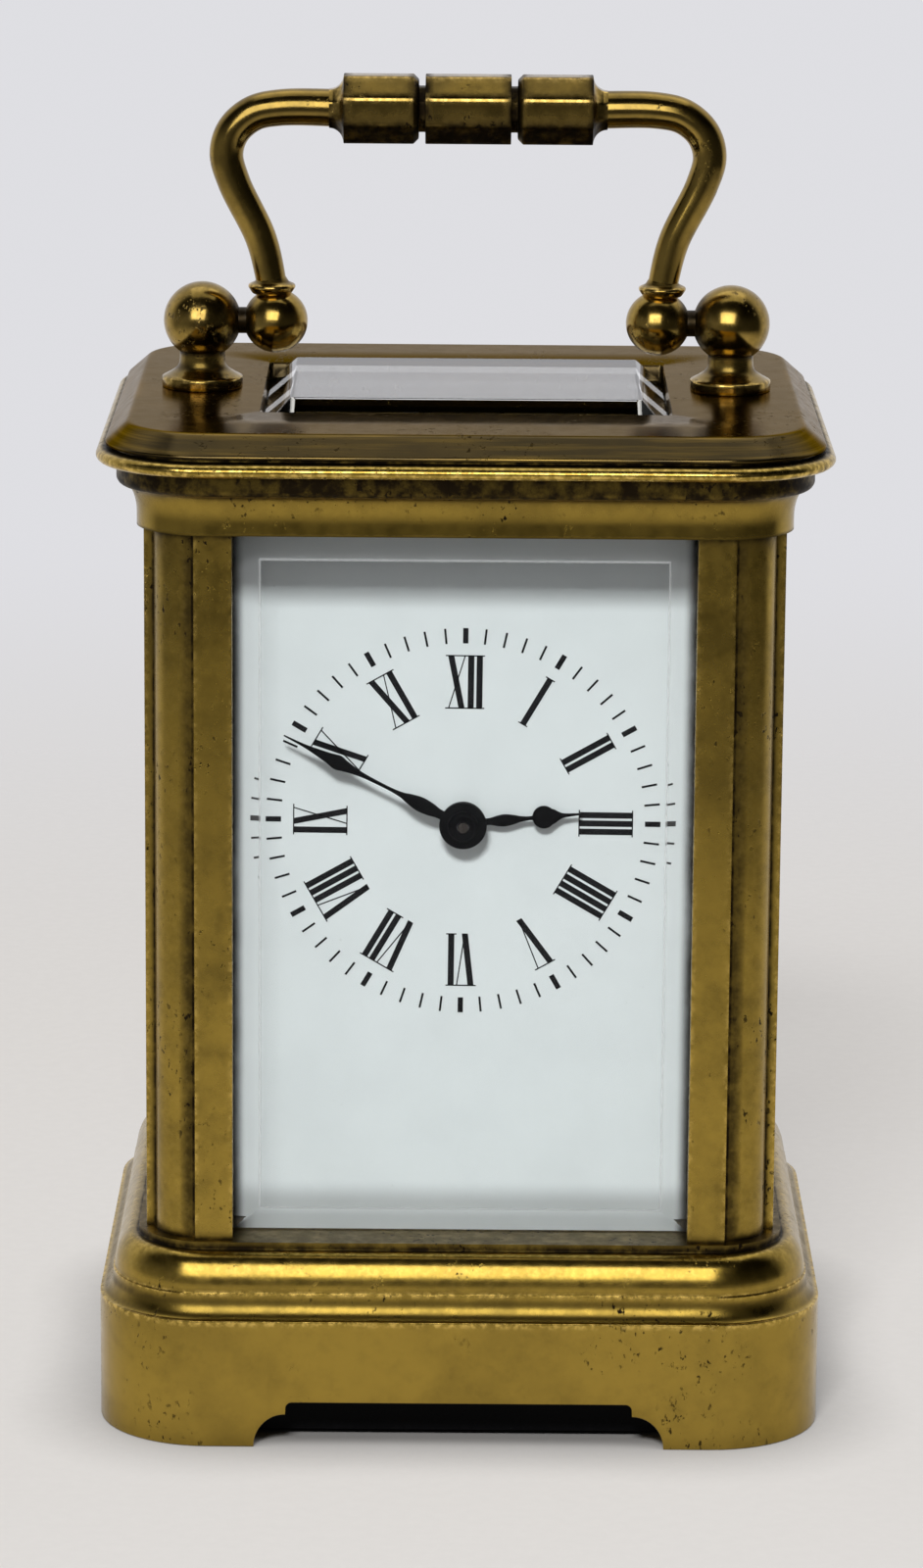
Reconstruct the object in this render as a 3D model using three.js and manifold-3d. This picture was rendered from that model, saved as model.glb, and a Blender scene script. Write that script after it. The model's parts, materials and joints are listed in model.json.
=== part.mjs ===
// A miniature carriage clock in millimetres: X to the right of the dial, Y to the back, Z up.
// Its origin is the middle of the surface that it stands on.
import * as THREE from 'three';
import { mergeVertices } from 'three/addons/utils/BufferGeometryUtils.js';
import ManifoldModule from 'manifold-3d';

// Clearances
const seatGap = 0.1; // between a glass and the groove that holds it
const fitGap = 0.15; // round a pin, screw, pivot or tenon in its hole
const runGap = 0.3; // between pieces that pass each other
const cutPast = 1; // by which a cut passes the surface that it opens

// Case plan, over the outer planes of the pillars
const caseWidth = 47.76;
const caseDepth = 40.8;
const caseCornerRadius = 4.85;

// Base plinth, from the floor up
const baseOverhang = 3.62; // of its wall beyond the pillars
const baseWallHeight = 9.9;
const baseCoveWidth = 1.0;
const baseCoveHeight = 1.6;
const baseFilletStep = 0.12;
const baseFilletHeight = 0.25;
const baseRoundWidth = 1.55;
const baseRoundHeight = 2.85;
const baseSeatStep = 0.33;
const baseSeatHeight = 0.6;
const baseWallThickness = 3.0;
const baseDeckThickness = 3.2;
const frontFootGap = 31.0; // between the feet, at the floor
const sideFootGap = 24.0;
const footCurveWidth = 2.4; // of the hollow curve at the end of each foot
const footCurveHeight = 2.55;
const footStepHeight = 0.45;
const footRoundRadius = 0.5;
const liningThickness = 0.35; // of the dark sheet inside the base's wall
const liningFoot = 0.4; // above the floor
const liningTop = 5.0;

// Pillars: distances inwards from their two outer planes
const pillarHeight = 54.2;
const stripStart = 3.84; // of the two flat strips that flank the rounded corner
const stripEnd = 6.7;
const stripRelief = 0.75; // the strips stand this far proud
const cornerBeadRadius = 2.85;
const grooveLip = 1.4; // in front of the glass
const grooveBottom = 4.6;
const innerLipReach = 6.0; // behind the glass
const innerLipThickness = 1.8;
const doorRebateReach = 5.2; // of the rear pillars' stop beside the door

// Glasses
const glassThickness = 1.8;
const glassEdgeThickness = 1.1;
const glassBevel = 2.0; // width that shows
const topGlassThickness = 4.0;
const topGlassFlange = 1.5; // of the rim that the cap holds down
const topGlassShoulder = 1.9; // height of its bevel's foot
const topGlassBevel = 2.1;

// Cornice and cap: overhangs beyond the pillars, heights from the pillars' tops up
const corniceLipOverhang = 0.55;
const corniceLipHeight = 0.9;
const corniceCoveWidth = 0.9;
const corniceCoveHeight = 2.15;
const corniceRoundWidth = 0.6; // of the quarter round over the cove
const corniceRoundHeight = 0.65;
const fasciaHeight = 1.0;
const flangeOverhang = 3.57;
const flangeThickness = 1.1;
const flangeBeadWidth = 0.76; // of its rounded edge
const capSeatOverhang = 2.25;
const capSeatHeight = 0.3;
const capOverhang = 2.85;
const capTopOverhang = 1.2;
const capEdgeHeight = 0.2;
const capThickness = 1.65;
const windowWidth = 30.8; // in the cap
const windowDepth = 23.6;
const topGlassMargin = 1.6; // held under the cap

// Handle
const handleAxisHeight = 5.1; // above the cap
const postInset = 3.68; // of each post's axis from the outer planes of the pillars
const postBallRadius = 2.95;
const postFlangeRadius = 3.1;
const postFlangeThickness = 0.8;
const postFlangeCrown = 0.3;
const postNeckRadius = 1.72;
const postStudRadius = 0.75;
const postStudLength = 4.5;
const bailBallRadius = 2.45;
const bailSideGap = 0.2; // between a post's ball and the bail's
const handlePinRadius = 0.7;
const handlePinReach = 1.3; // past the centre of each ball
const collarRadius = 1.75;
const collarThickness = 0.7;
const collarHeight = 2.82; // above the axis
const bailRise = 16.25; // of the grip's axis above the pivots
const bailBulge = 3.75; // of the bend outside the bail's balls
const bailFlare = [[0.03, 0.09], [0.12, 0.28], [0.31, 0.5], [0.85, 0.83]]; // shares of the bulge and the rise
const bailBendWidth = 4.0; // between each side and the grip
const bailBendHeight = 3.5;
const bailBite = 0.3; // of each side into the grip
const bailFootRadius = 1.1;
const bailTopRadius = 1.45;
const gripSides = 8;
const gripFlats = 5.15; // across the flats
const gripMiddle = 6.5; // length of the middle part
const gripGroove = 0.5;
const gripChamfer = 0.4;
const gripSide = 5.7; // length of each outer part
const gripCove = 1.1;
const gripCoreRadius = 1.7;

// Dial and hands: distances along Y are behind the front glass
const dialBehindGlass = 2.6;
const dialThickness = 1.2;
const dialSideMargin = 0.48; // to the lips of the pillars
const dialEndMargin = 0.12; // to the base and the cornice
const dialCentreHeight = 31.4; // above the base
const dialFootRadius = 0.7;
const dialFootSide = 11.5; // of the two feet from the dial's middle line
const dialFootLow = 25.5; // below the dial's centre
const dialFootHigh = 3.9; // above it
const hourHandLift = 0.55; // of its back above the dial
const minuteHandLift = 1.25;
const handThickness = 0.28;
const minuteHandLength = 15.1;
const minuteHandForm = [ // shares of the length, and half widths
  [0, 0.36], [0.13, 0.36], [0.18, 0.5], [0.235, 0.57], [0.3, 0.4], [0.35, 0.2], [0.41, 0.13], [0.54, 0.16],
  [0.61, 0.28], [0.665, 0.46], [0.7, 0.58], [0.75, 0.42], [0.81, 0.27], [0.89, 0.12], [1, 0.04],
];
const hourHandLength = 8.9;
const hourHandForm = [
  [0, 0.26], [0.22, 0.26], [0.29, 0.4], [0.35, 0.47], [0.43, 0.36], [0.5, 0.2], [0.57, 0.15], [0.68, 0.4],
  [0.76, 0.58], [0.81, 0.34], [0.86, 0.16], [1, 0.06],
];
const hourHubRadius = 1.7;
const minuteHubRadius = 1.79;
const moonRadius = 0.87;
const moonDistance = 6.1;
const colletRadius = 1.15;
const colletCrown = 0.9; // radius of its front edge
const colletDish = 0.6; // radius of the hollow in its front
const colletThickness = 0.6;
const colletDepth = 0.25; // of the hollow
const shownMinutes = 49.5;
const shownHours = 2;

// Movement frame
const plateThickness = 1.2;
const plateSpacing = 18.0;
const plateWidth = 30.0;
const plateHeight = 42.8;
const dialToPlate = 3.1;
const framePillarRadius = 1.8;
const framePillarTenon = 0.9;
const framePillarInset = 2.3; // from the plates' sides
const framePillarLow = 2.8; // above the plates' foot
const framePillarHigh = 39.3;
const pivotRadius = 0.25;

// Screws
const screwRadius = 0.75;
const screwHeadRadius = 1.6;
const screwHeadHeight = 1.2;
const screwSlotWidth = 0.5;
const screwBite = 4.3; // depth in the piece that it holds

// Going train: teeth, modules and the direction of each arbor from the one before
const barrelTeeth = 64;
const intermediatePinionTeeth = 8;
const barrelModule = 0.3125;
const intermediateTeeth = 48;
const centrePinionTeeth = 8;
const intermediateModule = 0.25;
const centreTeeth = 56;
const thirdPinionTeeth = 7;
const centreModule = 0.2;
const thirdTeeth = 60;
const contratePinionTeeth = 6;
const thirdModule = 0.17;
const contrateTeeth = 36;
const escapePinionTeeth = 6;
const contrateModule = 0.2;
const centreToIntermediate = -60; // degrees, anticlockwise from +X as the dial is seen
const intermediateToBarrel = -108;
const centreToThird = 142.4;
const thirdToContrate = 27.2;
const toothHeight = 0.75; // above the pitch circle, in modules
const toothRoot = 1.2; // below it
const toothRootShare = 0.34; // half width at the root, in pitches
const wheelThickness = 0.6;
const pinionLength = 1.4;
const arborRadius = 0.35;
const thirdArborRadius = 0.3;
const centreArborRadius = 0.4;
const centrePipeRadius = 0.66;
const centrePipeEnd = 0.5; // past the wheel and the pinion
const barrelLength = 11.0;
const barrelDrumRadius = 9.2;
const barrelWall = 0.8;
const barrelFloor = 1.2;
const barrelArborRadius = 1.3;
const barrelPivotRadius = 1.0;
const barrelFront = 1.5; // from the front plate
const pinionLead = 0.2; // of the intermediate pinion before the barrel's teeth
const intermediateBehindBarrel = 1.0;
const thirdBehindCentre = 3.6;
const contrateBehindThird = 2.0;
const crownToothHeight = 0.62;
const crownToothFoot = 0.1; // in the disc
const crownToothInset = 0.05; // from the disc's edge
const crownRim = 0.6;

// Mainspring and hairspring
const mainspringTurns = 6;
const mainspringThickness = 0.4;
const mainspringHeight = 7.6;
const hairspringTurns = 4;
const hairspringWire = 0.16;
const hairspringInner = 0.95;
const hairspringOuter = 3.5;

// Winding work behind the back plate
const ratchetTeeth = 24;
const ratchetRadius = 5.0;
const ratchetToothDepth = 0.6;
const ratchetRake = 1.15; // degrees from a tooth's foot to its tip
const ratchetThickness = 0.9;
const windingSquareSide = 1.5;
const windingSquareEnd = 5.2; // behind the back plate
const handSquareSide = 0.6;
const handSquareEnd = 4.0;
const clickDistance = 6.9;
const clickDirection = 75;
const clickTipDirection = 30;
const clickEyeRadius = 1.0;
const clickArmInner = 0.7; // sides of the arm at the eye and at the tip, from its middle line
const clickArmOuter = 0.9;
const clickTipInner = 0.02;
const clickTipOuter = 0.3;
const clickStudRadius = 0.5;
const clickSpringThickness = 0.35;
const clickSpringFoot = 0.8;
const clickSpringDistance = 10.1;
const clickSpringDirection = 32;

// Motion work between the dial and the front plate
const motionModule = 0.2;
const cannonTeeth = 10;
const minuteWheelTeeth = 30;
const minutePinionTeeth = 8;
const hourWheelTeeth = 32;
const centreToMinuteWheel = -30;
const cannonPipeRadius = 0.8;
const hourPipeWall = 0.3;
const motionWheelThickness = 0.5;
const cannonPinionLength = 0.9;
const minuteWheelInset = 0.2; // from the cannon pinion's back

// Platform escapement
const platformThickness = 1.2;
const platformWidth = 26.0;
const escapeTeeth = 15;
const escapeRadius = 3.2;
const escapeRootRadius = 2.3;
const escapeToothFace = 5.7; // degrees from a tooth's foot to its tip
const escapeToothTip = 3.4;
const escapeToothBack = 2.3;
const escapeHubRadius = 0.7;
const escapePinionDrop = 0.4; // below the crown's rim
const escapeLevel = 1.0; // above the platform
const escapeToLever = -150;
const leverDistance = 4.2;
const leverToBalance = -135;
const balanceDistance = 4.4;
const balanceRadius = 4.6;
const balanceRim = 0.7;
const balanceLevel = 2.8;
const balanceThickness = 0.8;
const balanceSpokeWidth = 0.8;
const balanceSpokeInset = 0.15; // from the rim's two faces
const rollerRadius = 0.6;
const leverFork = 3.4; // from the lever's axis to the end of its fork
const leverWidth = 0.5;
const leverHubRadius = 0.5;
const forkWidth = 1.26;
const forkSlot = 0.54;
const forkDepth = 0.5;
const forkBack = 0.3;
const palletReach = 2.4; // of each pallet to the side of the lever's axis
const palletTip = 0.2;
const palletBack = 0.5;
const cockLevel = 5.4;
const cockThickness = 1.0;
const cockFootDistance = 6.3;
const cockFootRadius = 1.3;
const cockArmWidth = 2.4;
const cockNoseRadius = 1.2;
const hairspringStud = 0.7;

// Rear door
const doorThickness = 3.0;
const doorSideGap = 0.3;
const doorEndGap = 0.3;
const doorStile = 4.2;
const doorRebate = 1.0;
const doorPinRadius = 0.6;
const doorPinReach = 1.8;
const doorKnobRadius = 1.3;
const doorKnobLength = 2.2;
const doorKnobHead = 0.88; // half height of its round head
const doorKnobNeckRadius = 0.8;
const doorKnobNeckHeight = 0.77;
const doorKnobFootRadius = 1.05;
const doorKnobStud = 0.6;
const doorKnobStudLength = 1.3;

// Levels and places that follow from these sizes
const halfWidth = caseWidth / 2;
const halfDepth = caseDepth / 2;
const baseHeight = baseWallHeight + baseCoveHeight + baseFilletHeight + baseRoundHeight + baseSeatHeight;
const deckUnderside = baseHeight - baseDeckThickness;
const hollowOverhang = baseOverhang - baseWallThickness;
const pillarTop = baseHeight + pillarHeight;
const corniceCurves = corniceCoveHeight + corniceRoundHeight;
const corniceHeight = corniceLipHeight + corniceCurves + fasciaHeight + flangeThickness + capSeatHeight;
const corniceTop = pillarTop + corniceHeight;
const capTop = corniceTop + capThickness;
const handleAxis = capTop + handleAxisHeight;
const postX = halfWidth - postInset;
const bailX = postX - postBallRadius - bailSideGap - bailBallRadius;
const grooveFar = grooveLip + glassThickness + 2 * seatGap;
const frontGlassBack = -halfDepth + grooveLip + seatGap + glassThickness;
const dialFront = frontGlassBack + dialBehindGlass;
const hourHandFront = dialFront - hourHandLift - handThickness;
const minuteHandFront = dialFront - minuteHandLift - handThickness;
const dialBack = dialFront + dialThickness;
const frontPlateFront = dialBack + dialToPlate;
const frontPlateBack = frontPlateFront + plateThickness;
const backPlateFront = frontPlateBack + plateSpacing;
const backPlateBack = backPlateFront + plateThickness;
const plateTop = baseHeight + plateHeight;
const platformTop = plateTop + platformThickness;
const framePillarX = plateWidth / 2 - framePillarInset;
const doorInside = halfDepth - (grooveFar - seatGap);
const doorOutside = doorInside + doorThickness;
const doorPinY = (doorInside + doorOutside) / 2;
const doorEdgeX = halfWidth - doorRebateReach - doorSideGap;
const doorPinX = doorEdgeX - doorThickness / 2;

const wasm = await ManifoldModule();
wasm.setup();

const weldDistance = 1e-4;
const roundSteps = 12; // sides of a small turned piece
const ballSteps = 16; // sides of a post
const ballRings = 6; // of a ball, from end to end
const holeSteps = 8;
const springSteps = 12; // of each turn of a spring
const drumSteps = 24; // sides of the barrel
const cornerSteps = 5; // of each rounded corner of the case
const curveSteps = 5; // of each curve in a moulding
const bailSteps = 16; // of each side of the bail, from its ball to the grip
const bailSides = 10; // round it

// A closed surface as a solid that can be joined and cut
function toSolid(geometry) {
  const bare = geometry.clone();
  bare.deleteAttribute('normal');
  bare.deleteAttribute('uv');
  const welded = mergeVertices(bare, weldDistance);
  const corners = welded.index.array;
  const triVerts = [];
  for (let i = 0; i < corners.length; i += 3) {
    const [a, b, c] = corners.slice(i, i + 3);
    if (a !== b && b !== c && c !== a) {
      triVerts.push(a, b, c);
    }
  }
  const vertProperties = new Float32Array(welded.attributes.position.array);
  const mesh = new wasm.Mesh({ numProp: 3, vertProperties, triVerts: new Uint32Array(triVerts) });
  return new wasm.Manifold(mesh);
}

// The solid's surface as a geometry
function toGeometry(solid) {
  const mesh = solid.getMesh();
  const geometry = new THREE.BufferGeometry();
  geometry.setAttribute('position', new THREE.BufferAttribute(mesh.vertProperties, 3));
  geometry.setIndex(new THREE.BufferAttribute(mesh.triVerts, 1));
  geometry.computeVertexNormals();
  return geometry;
}

function join(...geometries) {
  return toGeometry(geometries.map(toSolid).reduce((whole, next) => whole.add(next)));
}

function cut(body, ...tools) {
  return toGeometry(tools.map(toSolid).reduce((rest, tool) => rest.subtract(tool), toSolid(body)));
}

// A closed skin over a stack of rings with the same number of points, anticlockwise as seen from its end
function loft(rings) {
  const count = rings[0].length;
  const last = (rings.length - 1) * count;
  const index = [];
  for (let base = 0; base < last; base += count) {
    for (let i = 0; i < count; i += 1) {
      const a = base + i;
      const b = base + ((i + 1) % count);
      index.push(a, b, b + count, a, b + count, a + count);
    }
  }
  for (let i = 1; i < count - 1; i += 1) {
    index.push(0, i + 1, i, last, last + i, last + i + 1);
  }
  const geometry = new THREE.BufferGeometry().setFromPoints(rings.flat());
  geometry.setIndex(index);
  return geometry;
}

// One turned profile of [radius, height] pairs about the Y axis, from the axis to the axis or closed
function turnedY(profile, steps = roundSteps) {
  return new THREE.LatheGeometry(profile.map(([radius, height]) => new THREE.Vector2(radius, height)), steps);
}

function turnedZ(profile, steps = roundSteps) {
  return turnedY(profile, steps).rotateX(Math.PI / 2);
}

function turnedX(profile, steps = roundSteps) {
  return turnedY(profile, steps).rotateZ(-Math.PI / 2);
}

function rodProfile(radius, start, end) {
  return [[0, start], [radius, start], [radius, end], [0, end]];
}

function tubeProfile(outer, inner, start, end) {
  return [[inner, start], [outer, start], [outer, end], [inner, end], [inner, start]];
}

// Points of a round or elliptic stretch, in degrees
function arc(centreX, centreY, radiusX, radiusY, from, to, steps) {
  return Array.from({ length: steps + 1 }, (_, i) => {
    const angle = THREE.MathUtils.degToRad(from + ((to - from) * i) / steps);
    return [centreX + radiusX * Math.cos(angle), centreY + radiusY * Math.sin(angle)];
  });
}

function shapeOf(points, holes = []) {
  const shape = new THREE.Shape(points.map(([x, y]) => new THREE.Vector2(x, y)));
  shape.holes = holes.map((hole) => new THREE.Path(hole.map(([x, y]) => new THREE.Vector2(x, y))));
  return shape;
}

function circle(x, y, radius, steps = holeSteps) {
  return arc(x, y, radius, radius, 0, 360, steps).slice(0, steps);
}

// A point at a distance from another, in a direction in degrees
function stepFrom([x, z], distance, degrees) {
  const angle = THREE.MathUtils.degToRad(degrees);
  return [x + distance * Math.cos(angle), z + distance * Math.sin(angle)];
}

const axisPoint = [0, 0];

function rectangle(x0, y0, x1, y1) {
  return [[x0, y0], [x1, y0], [x1, y1], [x0, y1]];
}

const axisX = new THREE.Vector3(1, 0, 0);
const axisY = new THREE.Vector3(0, 1, 0);
const axisZ = new THREE.Vector3(0, 0, 1);

// Flat outlines given a thickness: drawn in XY and raised, in XZ and deepened, or in YZ and widened
function slabZ(shape, z0, z1) {
  return new THREE.ExtrudeGeometry(shape, { depth: z1 - z0, bevelEnabled: false }).translate(0, 0, z0);
}

function slabY(shape, y0, y1) {
  const turn = new THREE.Matrix4().makeBasis(axisX, axisZ, axisY.clone().negate());
  return slabZ(shape, 0, y1 - y0).applyMatrix4(turn).translate(0, y1, 0);
}

function slabX(shape, x0, x1) {
  const turn = new THREE.Matrix4().makeBasis(axisY, axisZ, axisX);
  return slabZ(shape, 0, x1 - x0).applyMatrix4(turn).translate(x0, 0, 0);
}

function block(x0, y0, z0, x1, y1, z1) {
  return slabZ(shapeOf(rectangle(x0, y0, x1, y1)), z0, z1);
}

// The case's plan with rounded corners, larger than the pillars' planes by an overhang
function caseRing(overhang, z) {
  const radius = caseCornerRadius + overhang;
  const centreX = halfWidth + overhang - radius;
  const centreY = halfDepth + overhang - radius;
  const corners = [[1, 1, 0], [-1, 1, 90], [-1, -1, 180], [1, -1, 270]];
  return corners.flatMap(([sideX, sideY, from]) => (
    arc(sideX * centreX, sideY * centreY, radius, radius, from, from + 90, cornerSteps)
      .map(([x, y]) => new THREE.Vector3(x, y, z))
  ));
}

function moulding(profile) {
  return loft(profile.map(([overhang, z]) => caseRing(overhang, z)));
}

// Base plinth

function footArch(gap) {
  const outer = gap / 2;
  const inner = outer - footCurveWidth;
  const stepTop = footCurveHeight + footStepHeight;
  const right = [
    [outer, -cutPast],
    ...arc(inner, 0, footCurveWidth, footCurveHeight, 0, 90, curveSteps),
    ...arc(inner - footRoundRadius, stepTop, footRoundRadius, footRoundRadius, 0, 90, curveSteps),
  ];
  const left = right.map(([x, z]) => [-x, z]).reverse();
  return shapeOf([...right, ...left]);
}

function basePlinth() {
  const coveTop = baseWallHeight + baseCoveHeight;
  const roundFoot = coveTop + baseFilletHeight;
  const roundTop = roundFoot + baseRoundHeight;
  const coveInner = baseOverhang - baseCoveWidth;
  const roundInner = coveInner - baseFilletStep - baseRoundWidth;
  const seat = roundInner - baseSeatStep;
  const outside = moulding([
    [baseOverhang, 0],
    ...arc(baseOverhang, coveTop, -baseCoveWidth, -baseCoveHeight, 90, 0, curveSteps),
    [coveInner, roundFoot],
    ...arc(roundInner, roundFoot, baseRoundWidth, baseRoundHeight, 0, 90, curveSteps),
    [seat, roundTop],
    [seat, baseHeight],
  ]);
  const hollow = moulding([[hollowOverhang, -cutPast], [hollowOverhang, deckUnderside]]);
  const reachX = halfWidth + baseOverhang + cutPast;
  const reachY = halfDepth + baseOverhang + cutPast;
  const holes = [...pillarScrewPlaces(), ...frameScrewPlaces()].map(([x, y]) => (
    turnedZ(rodProfile(screwRadius + fitGap, deckUnderside - cutPast, baseHeight + cutPast), holeSteps)
      .translate(x, y, 0)
  ));
  const pinFoot = baseHeight - doorPinReach - fitGap;
  const pinHole = turnedZ(rodProfile(doorPinRadius + fitGap, pinFoot, baseHeight + cutPast))
    .translate(doorPinX, doorPinY, 0);
  return cut(
    outside,
    hollow,
    slabY(footArch(frontFootGap), -reachY, reachY),
    slabX(footArch(sideFootGap), -reachX, reachX),
    ...holes,
    pinHole,
  );
}

// Sheet that lines the base's wall and closes its arches from within
function baseLining() {
  const outer = hollowOverhang - seatGap;
  const inner = outer - liningThickness;
  return cut(
    moulding([[outer, liningFoot], [outer, liningTop]]),
    moulding([[inner, liningFoot - cutPast], [inner, liningTop + cutPast]]),
  );
}

// Screws: the places in plan, and one screw with its head below

function pillarScrewPlaces() {
  const inset = stripRelief + cornerBeadRadius;
  return [[-1, -1], [1, -1], [-1, 1], [1, 1]].map(([sideX, sideY]) => (
    [sideX * (halfWidth - inset), sideY * (halfDepth - inset)]
  ));
}

function frameScrewPlaces() {
  const middle = (frontPlateBack + backPlateFront) / 2;
  return [[-framePillarX, middle], [framePillarX, middle]];
}

function screwUp(reach) {
  const slotHalf = screwSlotWidth / 2;
  const slotEnd = screwHeadRadius + cutPast;
  const head = turnedZ([
    [0, -screwHeadHeight],
    [screwHeadRadius, -screwHeadHeight],
    [screwHeadRadius, 0],
    [screwRadius, 0],
    [screwRadius, reach],
    [0, reach],
  ]);
  const slotLow = -screwHeadHeight - cutPast;
  const slot = block(-slotEnd, -slotHalf, slotLow, slotEnd, slotHalf, -screwHeadHeight / 2);
  return cut(head, slot);
}

// Pillars

function pillarOutline(rear) {
  const centre = stripRelief + cornerBeadRadius;
  const innerLipBack = grooveFar + innerLipThickness;
  const flank = rear
    ? [[doorRebateReach, 0], [doorRebateReach, grooveFar]]
    : [[stripEnd, 0], [stripEnd, grooveLip], [grooveBottom, grooveLip], [grooveBottom, grooveFar]];
  return [
    ...flank,
    [innerLipReach, grooveFar],
    [innerLipReach, innerLipBack],
    [innerLipBack, innerLipBack],
    [innerLipBack, innerLipReach],
    [grooveFar, innerLipReach],
    [grooveFar, grooveBottom],
    [grooveLip, grooveBottom],
    [grooveLip, stripEnd],
    [0, stripEnd],
    [0, stripStart],
    [stripRelief, stripStart],
    ...arc(centre, centre, cornerBeadRadius, cornerBeadRadius, 180, 270, curveSteps),
    [stripStart, stripRelief],
    [stripStart, 0],
  ];
}

function pillar(sideX, sideY) {
  const plan = pillarOutline(sideY > 0)
    .map(([u, v]) => [sideX * (halfWidth - u), sideY * (halfDepth - v)]);
  const [screwX, screwY] = pillarScrewPlaces()
    .find(([x, y]) => x * sideX > 0 && y * sideY > 0);
  const holeTop = baseHeight + screwBite + runGap;
  const hole = turnedZ(rodProfile(screwRadius + fitGap, baseHeight - cutPast, holeTop), holeSteps)
    .translate(screwX, screwY, 0);
  return cut(slabZ(shapeOf(plan), baseHeight, pillarTop), hole);
}

// Glasses, drawn with the bevelled face up

function paneStack(width, height, steps) {
  return join(loft(steps.map(([inset, z]) => {
    const x = width / 2 - inset;
    const y = height / 2 - inset;
    return rectangle(-x, -y, x, y).map(([cornerX, cornerY]) => new THREE.Vector3(cornerX, cornerY, z));
  })));
}

function pane(width, height, thickness, edge, border) {
  return paneStack(width, height, [[0, 0], [0, edge], [border, thickness]]);
}

// Its rim is held under the cap, and its bevelled middle stands up through the window
function topGlass() {
  const shoulder = topGlassMargin + seatGap;
  return paneStack(windowWidth + 2 * topGlassMargin, windowDepth + 2 * topGlassMargin, [
    [0, 0],
    [0, topGlassFlange],
    [shoulder, topGlassFlange],
    [shoulder, topGlassShoulder],
    [shoulder + topGlassBevel, topGlassThickness],
  ]);
}

function wallPane(width, sideways, outwards, heldBorder = 0) {
  const height = pillarHeight - 2 * seatGap;
  const turn = new THREE.Matrix4().makeBasis(sideways, axisZ, outwards);
  return pane(width, height, glassThickness, glassEdgeThickness, glassBevel + heldBorder).applyMatrix4(turn);
}

// Cornice and cap

function cornice() {
  const z = pillarTop;
  const roundTop = corniceLipHeight + corniceCurves;
  const fasciaTop = roundTop + fasciaHeight;
  const flangeTop = fasciaTop + flangeThickness;
  const coveEnd = corniceLipOverhang + corniceCoveWidth;
  const fasciaOverhang = coveEnd + corniceRoundWidth;
  const beadCentre = flangeOverhang - flangeBeadWidth;
  const beadRise = flangeThickness / 2;
  const outside = moulding([
    [corniceLipOverhang, z],
    ...arc(coveEnd, z + corniceLipHeight, -corniceCoveWidth, corniceCoveHeight, 0, 90, curveSteps),
    ...arc(coveEnd, z + roundTop, corniceRoundWidth, corniceRoundHeight, -90, 0, curveSteps).slice(1),
    [fasciaOverhang, z + fasciaTop],
    ...arc(beadCentre, z + fasciaTop + beadRise, flangeBeadWidth, beadRise, -90, 90, curveSteps),
    [capSeatOverhang, z + flangeTop],
    [capSeatOverhang, corniceTop],
  ]);
  const windowX = windowWidth / 2;
  const windowY = windowDepth / 2;
  const glassX = windowX + topGlassMargin + seatGap;
  const glassY = windowY + topGlassMargin + seatGap;
  const glassLow = corniceTop - topGlassFlange - seatGap;
  const lightWell = block(-windowX, -windowY, z - cutPast, windowX, windowY, corniceTop + cutPast);
  const glassSeat = block(-glassX, -glassY, glassLow, glassX, glassY, corniceTop + cutPast);
  const studs = [-1, 1].map((side) => (
    turnedZ(rodProfile(postStudRadius + fitGap, capTop - postStudLength - runGap, capTop), holeSteps)
      .translate(side * postX, 0, 0)
  ));
  const pinHole = turnedZ(rodProfile(doorPinRadius + fitGap, z - cutPast, z + doorPinReach + fitGap))
    .translate(doorPinX, doorPinY, 0);
  return cut(outside, lightWell, glassSeat, ...studs, pinHole);
}

function topCap() {
  const outside = moulding([
    [capOverhang, corniceTop],
    [capOverhang, corniceTop + capEdgeHeight],
    [capTopOverhang, capTop],
  ]);
  const windowX = windowWidth / 2;
  const windowY = windowDepth / 2;
  const window = block(-windowX, -windowY, corniceTop - cutPast, windowX, windowY, capTop + cutPast);
  const studs = [-1, 1].map((side) => (
    turnedZ(rodProfile(postStudRadius + fitGap, corniceTop - cutPast, capTop + cutPast), holeSteps)
      .translate(side * postX, 0, 0)
  ));
  return cut(outside, window, ...studs);
}

// Handle, drawn about its pivot axis

function handlePinHole(side) {
  const inner = bailX - handlePinReach - fitGap;
  const outer = postX + handlePinReach + fitGap;
  const hole = turnedX(rodProfile(handlePinRadius + fitGap, inner, outer), holeSteps);
  return side > 0 ? hole : hole.rotateZ(Math.PI);
}

function handlePost(side) {
  const foot = -handleAxisHeight;
  const flangeTop = foot + postFlangeThickness;
  const neckAngle = -THREE.MathUtils.radToDeg(Math.acos(postNeckRadius / postBallRadius));
  const ball = arc(0, 0, postBallRadius, postBallRadius, neckAngle, 90, ballRings);
  const neckFoot = (flangeTop + ball[0][1]) / 2;
  const profile = [
    [0, foot - postStudLength],
    [postStudRadius, foot - postStudLength],
    [postStudRadius, foot],
    [postFlangeRadius, foot],
    [postFlangeRadius, flangeTop],
    [(postFlangeRadius + postNeckRadius) / 2, flangeTop + postFlangeCrown],
    [postNeckRadius, neckFoot],
    ...ball,
  ];
  return cut(turnedZ(profile, ballSteps).translate(side * postX, 0, 0), handlePinHole(side));
}

function handlePin(side) {
  const inner = bailX - handlePinReach;
  const outer = postX + handlePinReach;
  const pin = turnedX(rodProfile(handlePinRadius, inner, outer), holeSteps);
  return join(side > 0 ? pin : pin.rotateZ(Math.PI));
}

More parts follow.
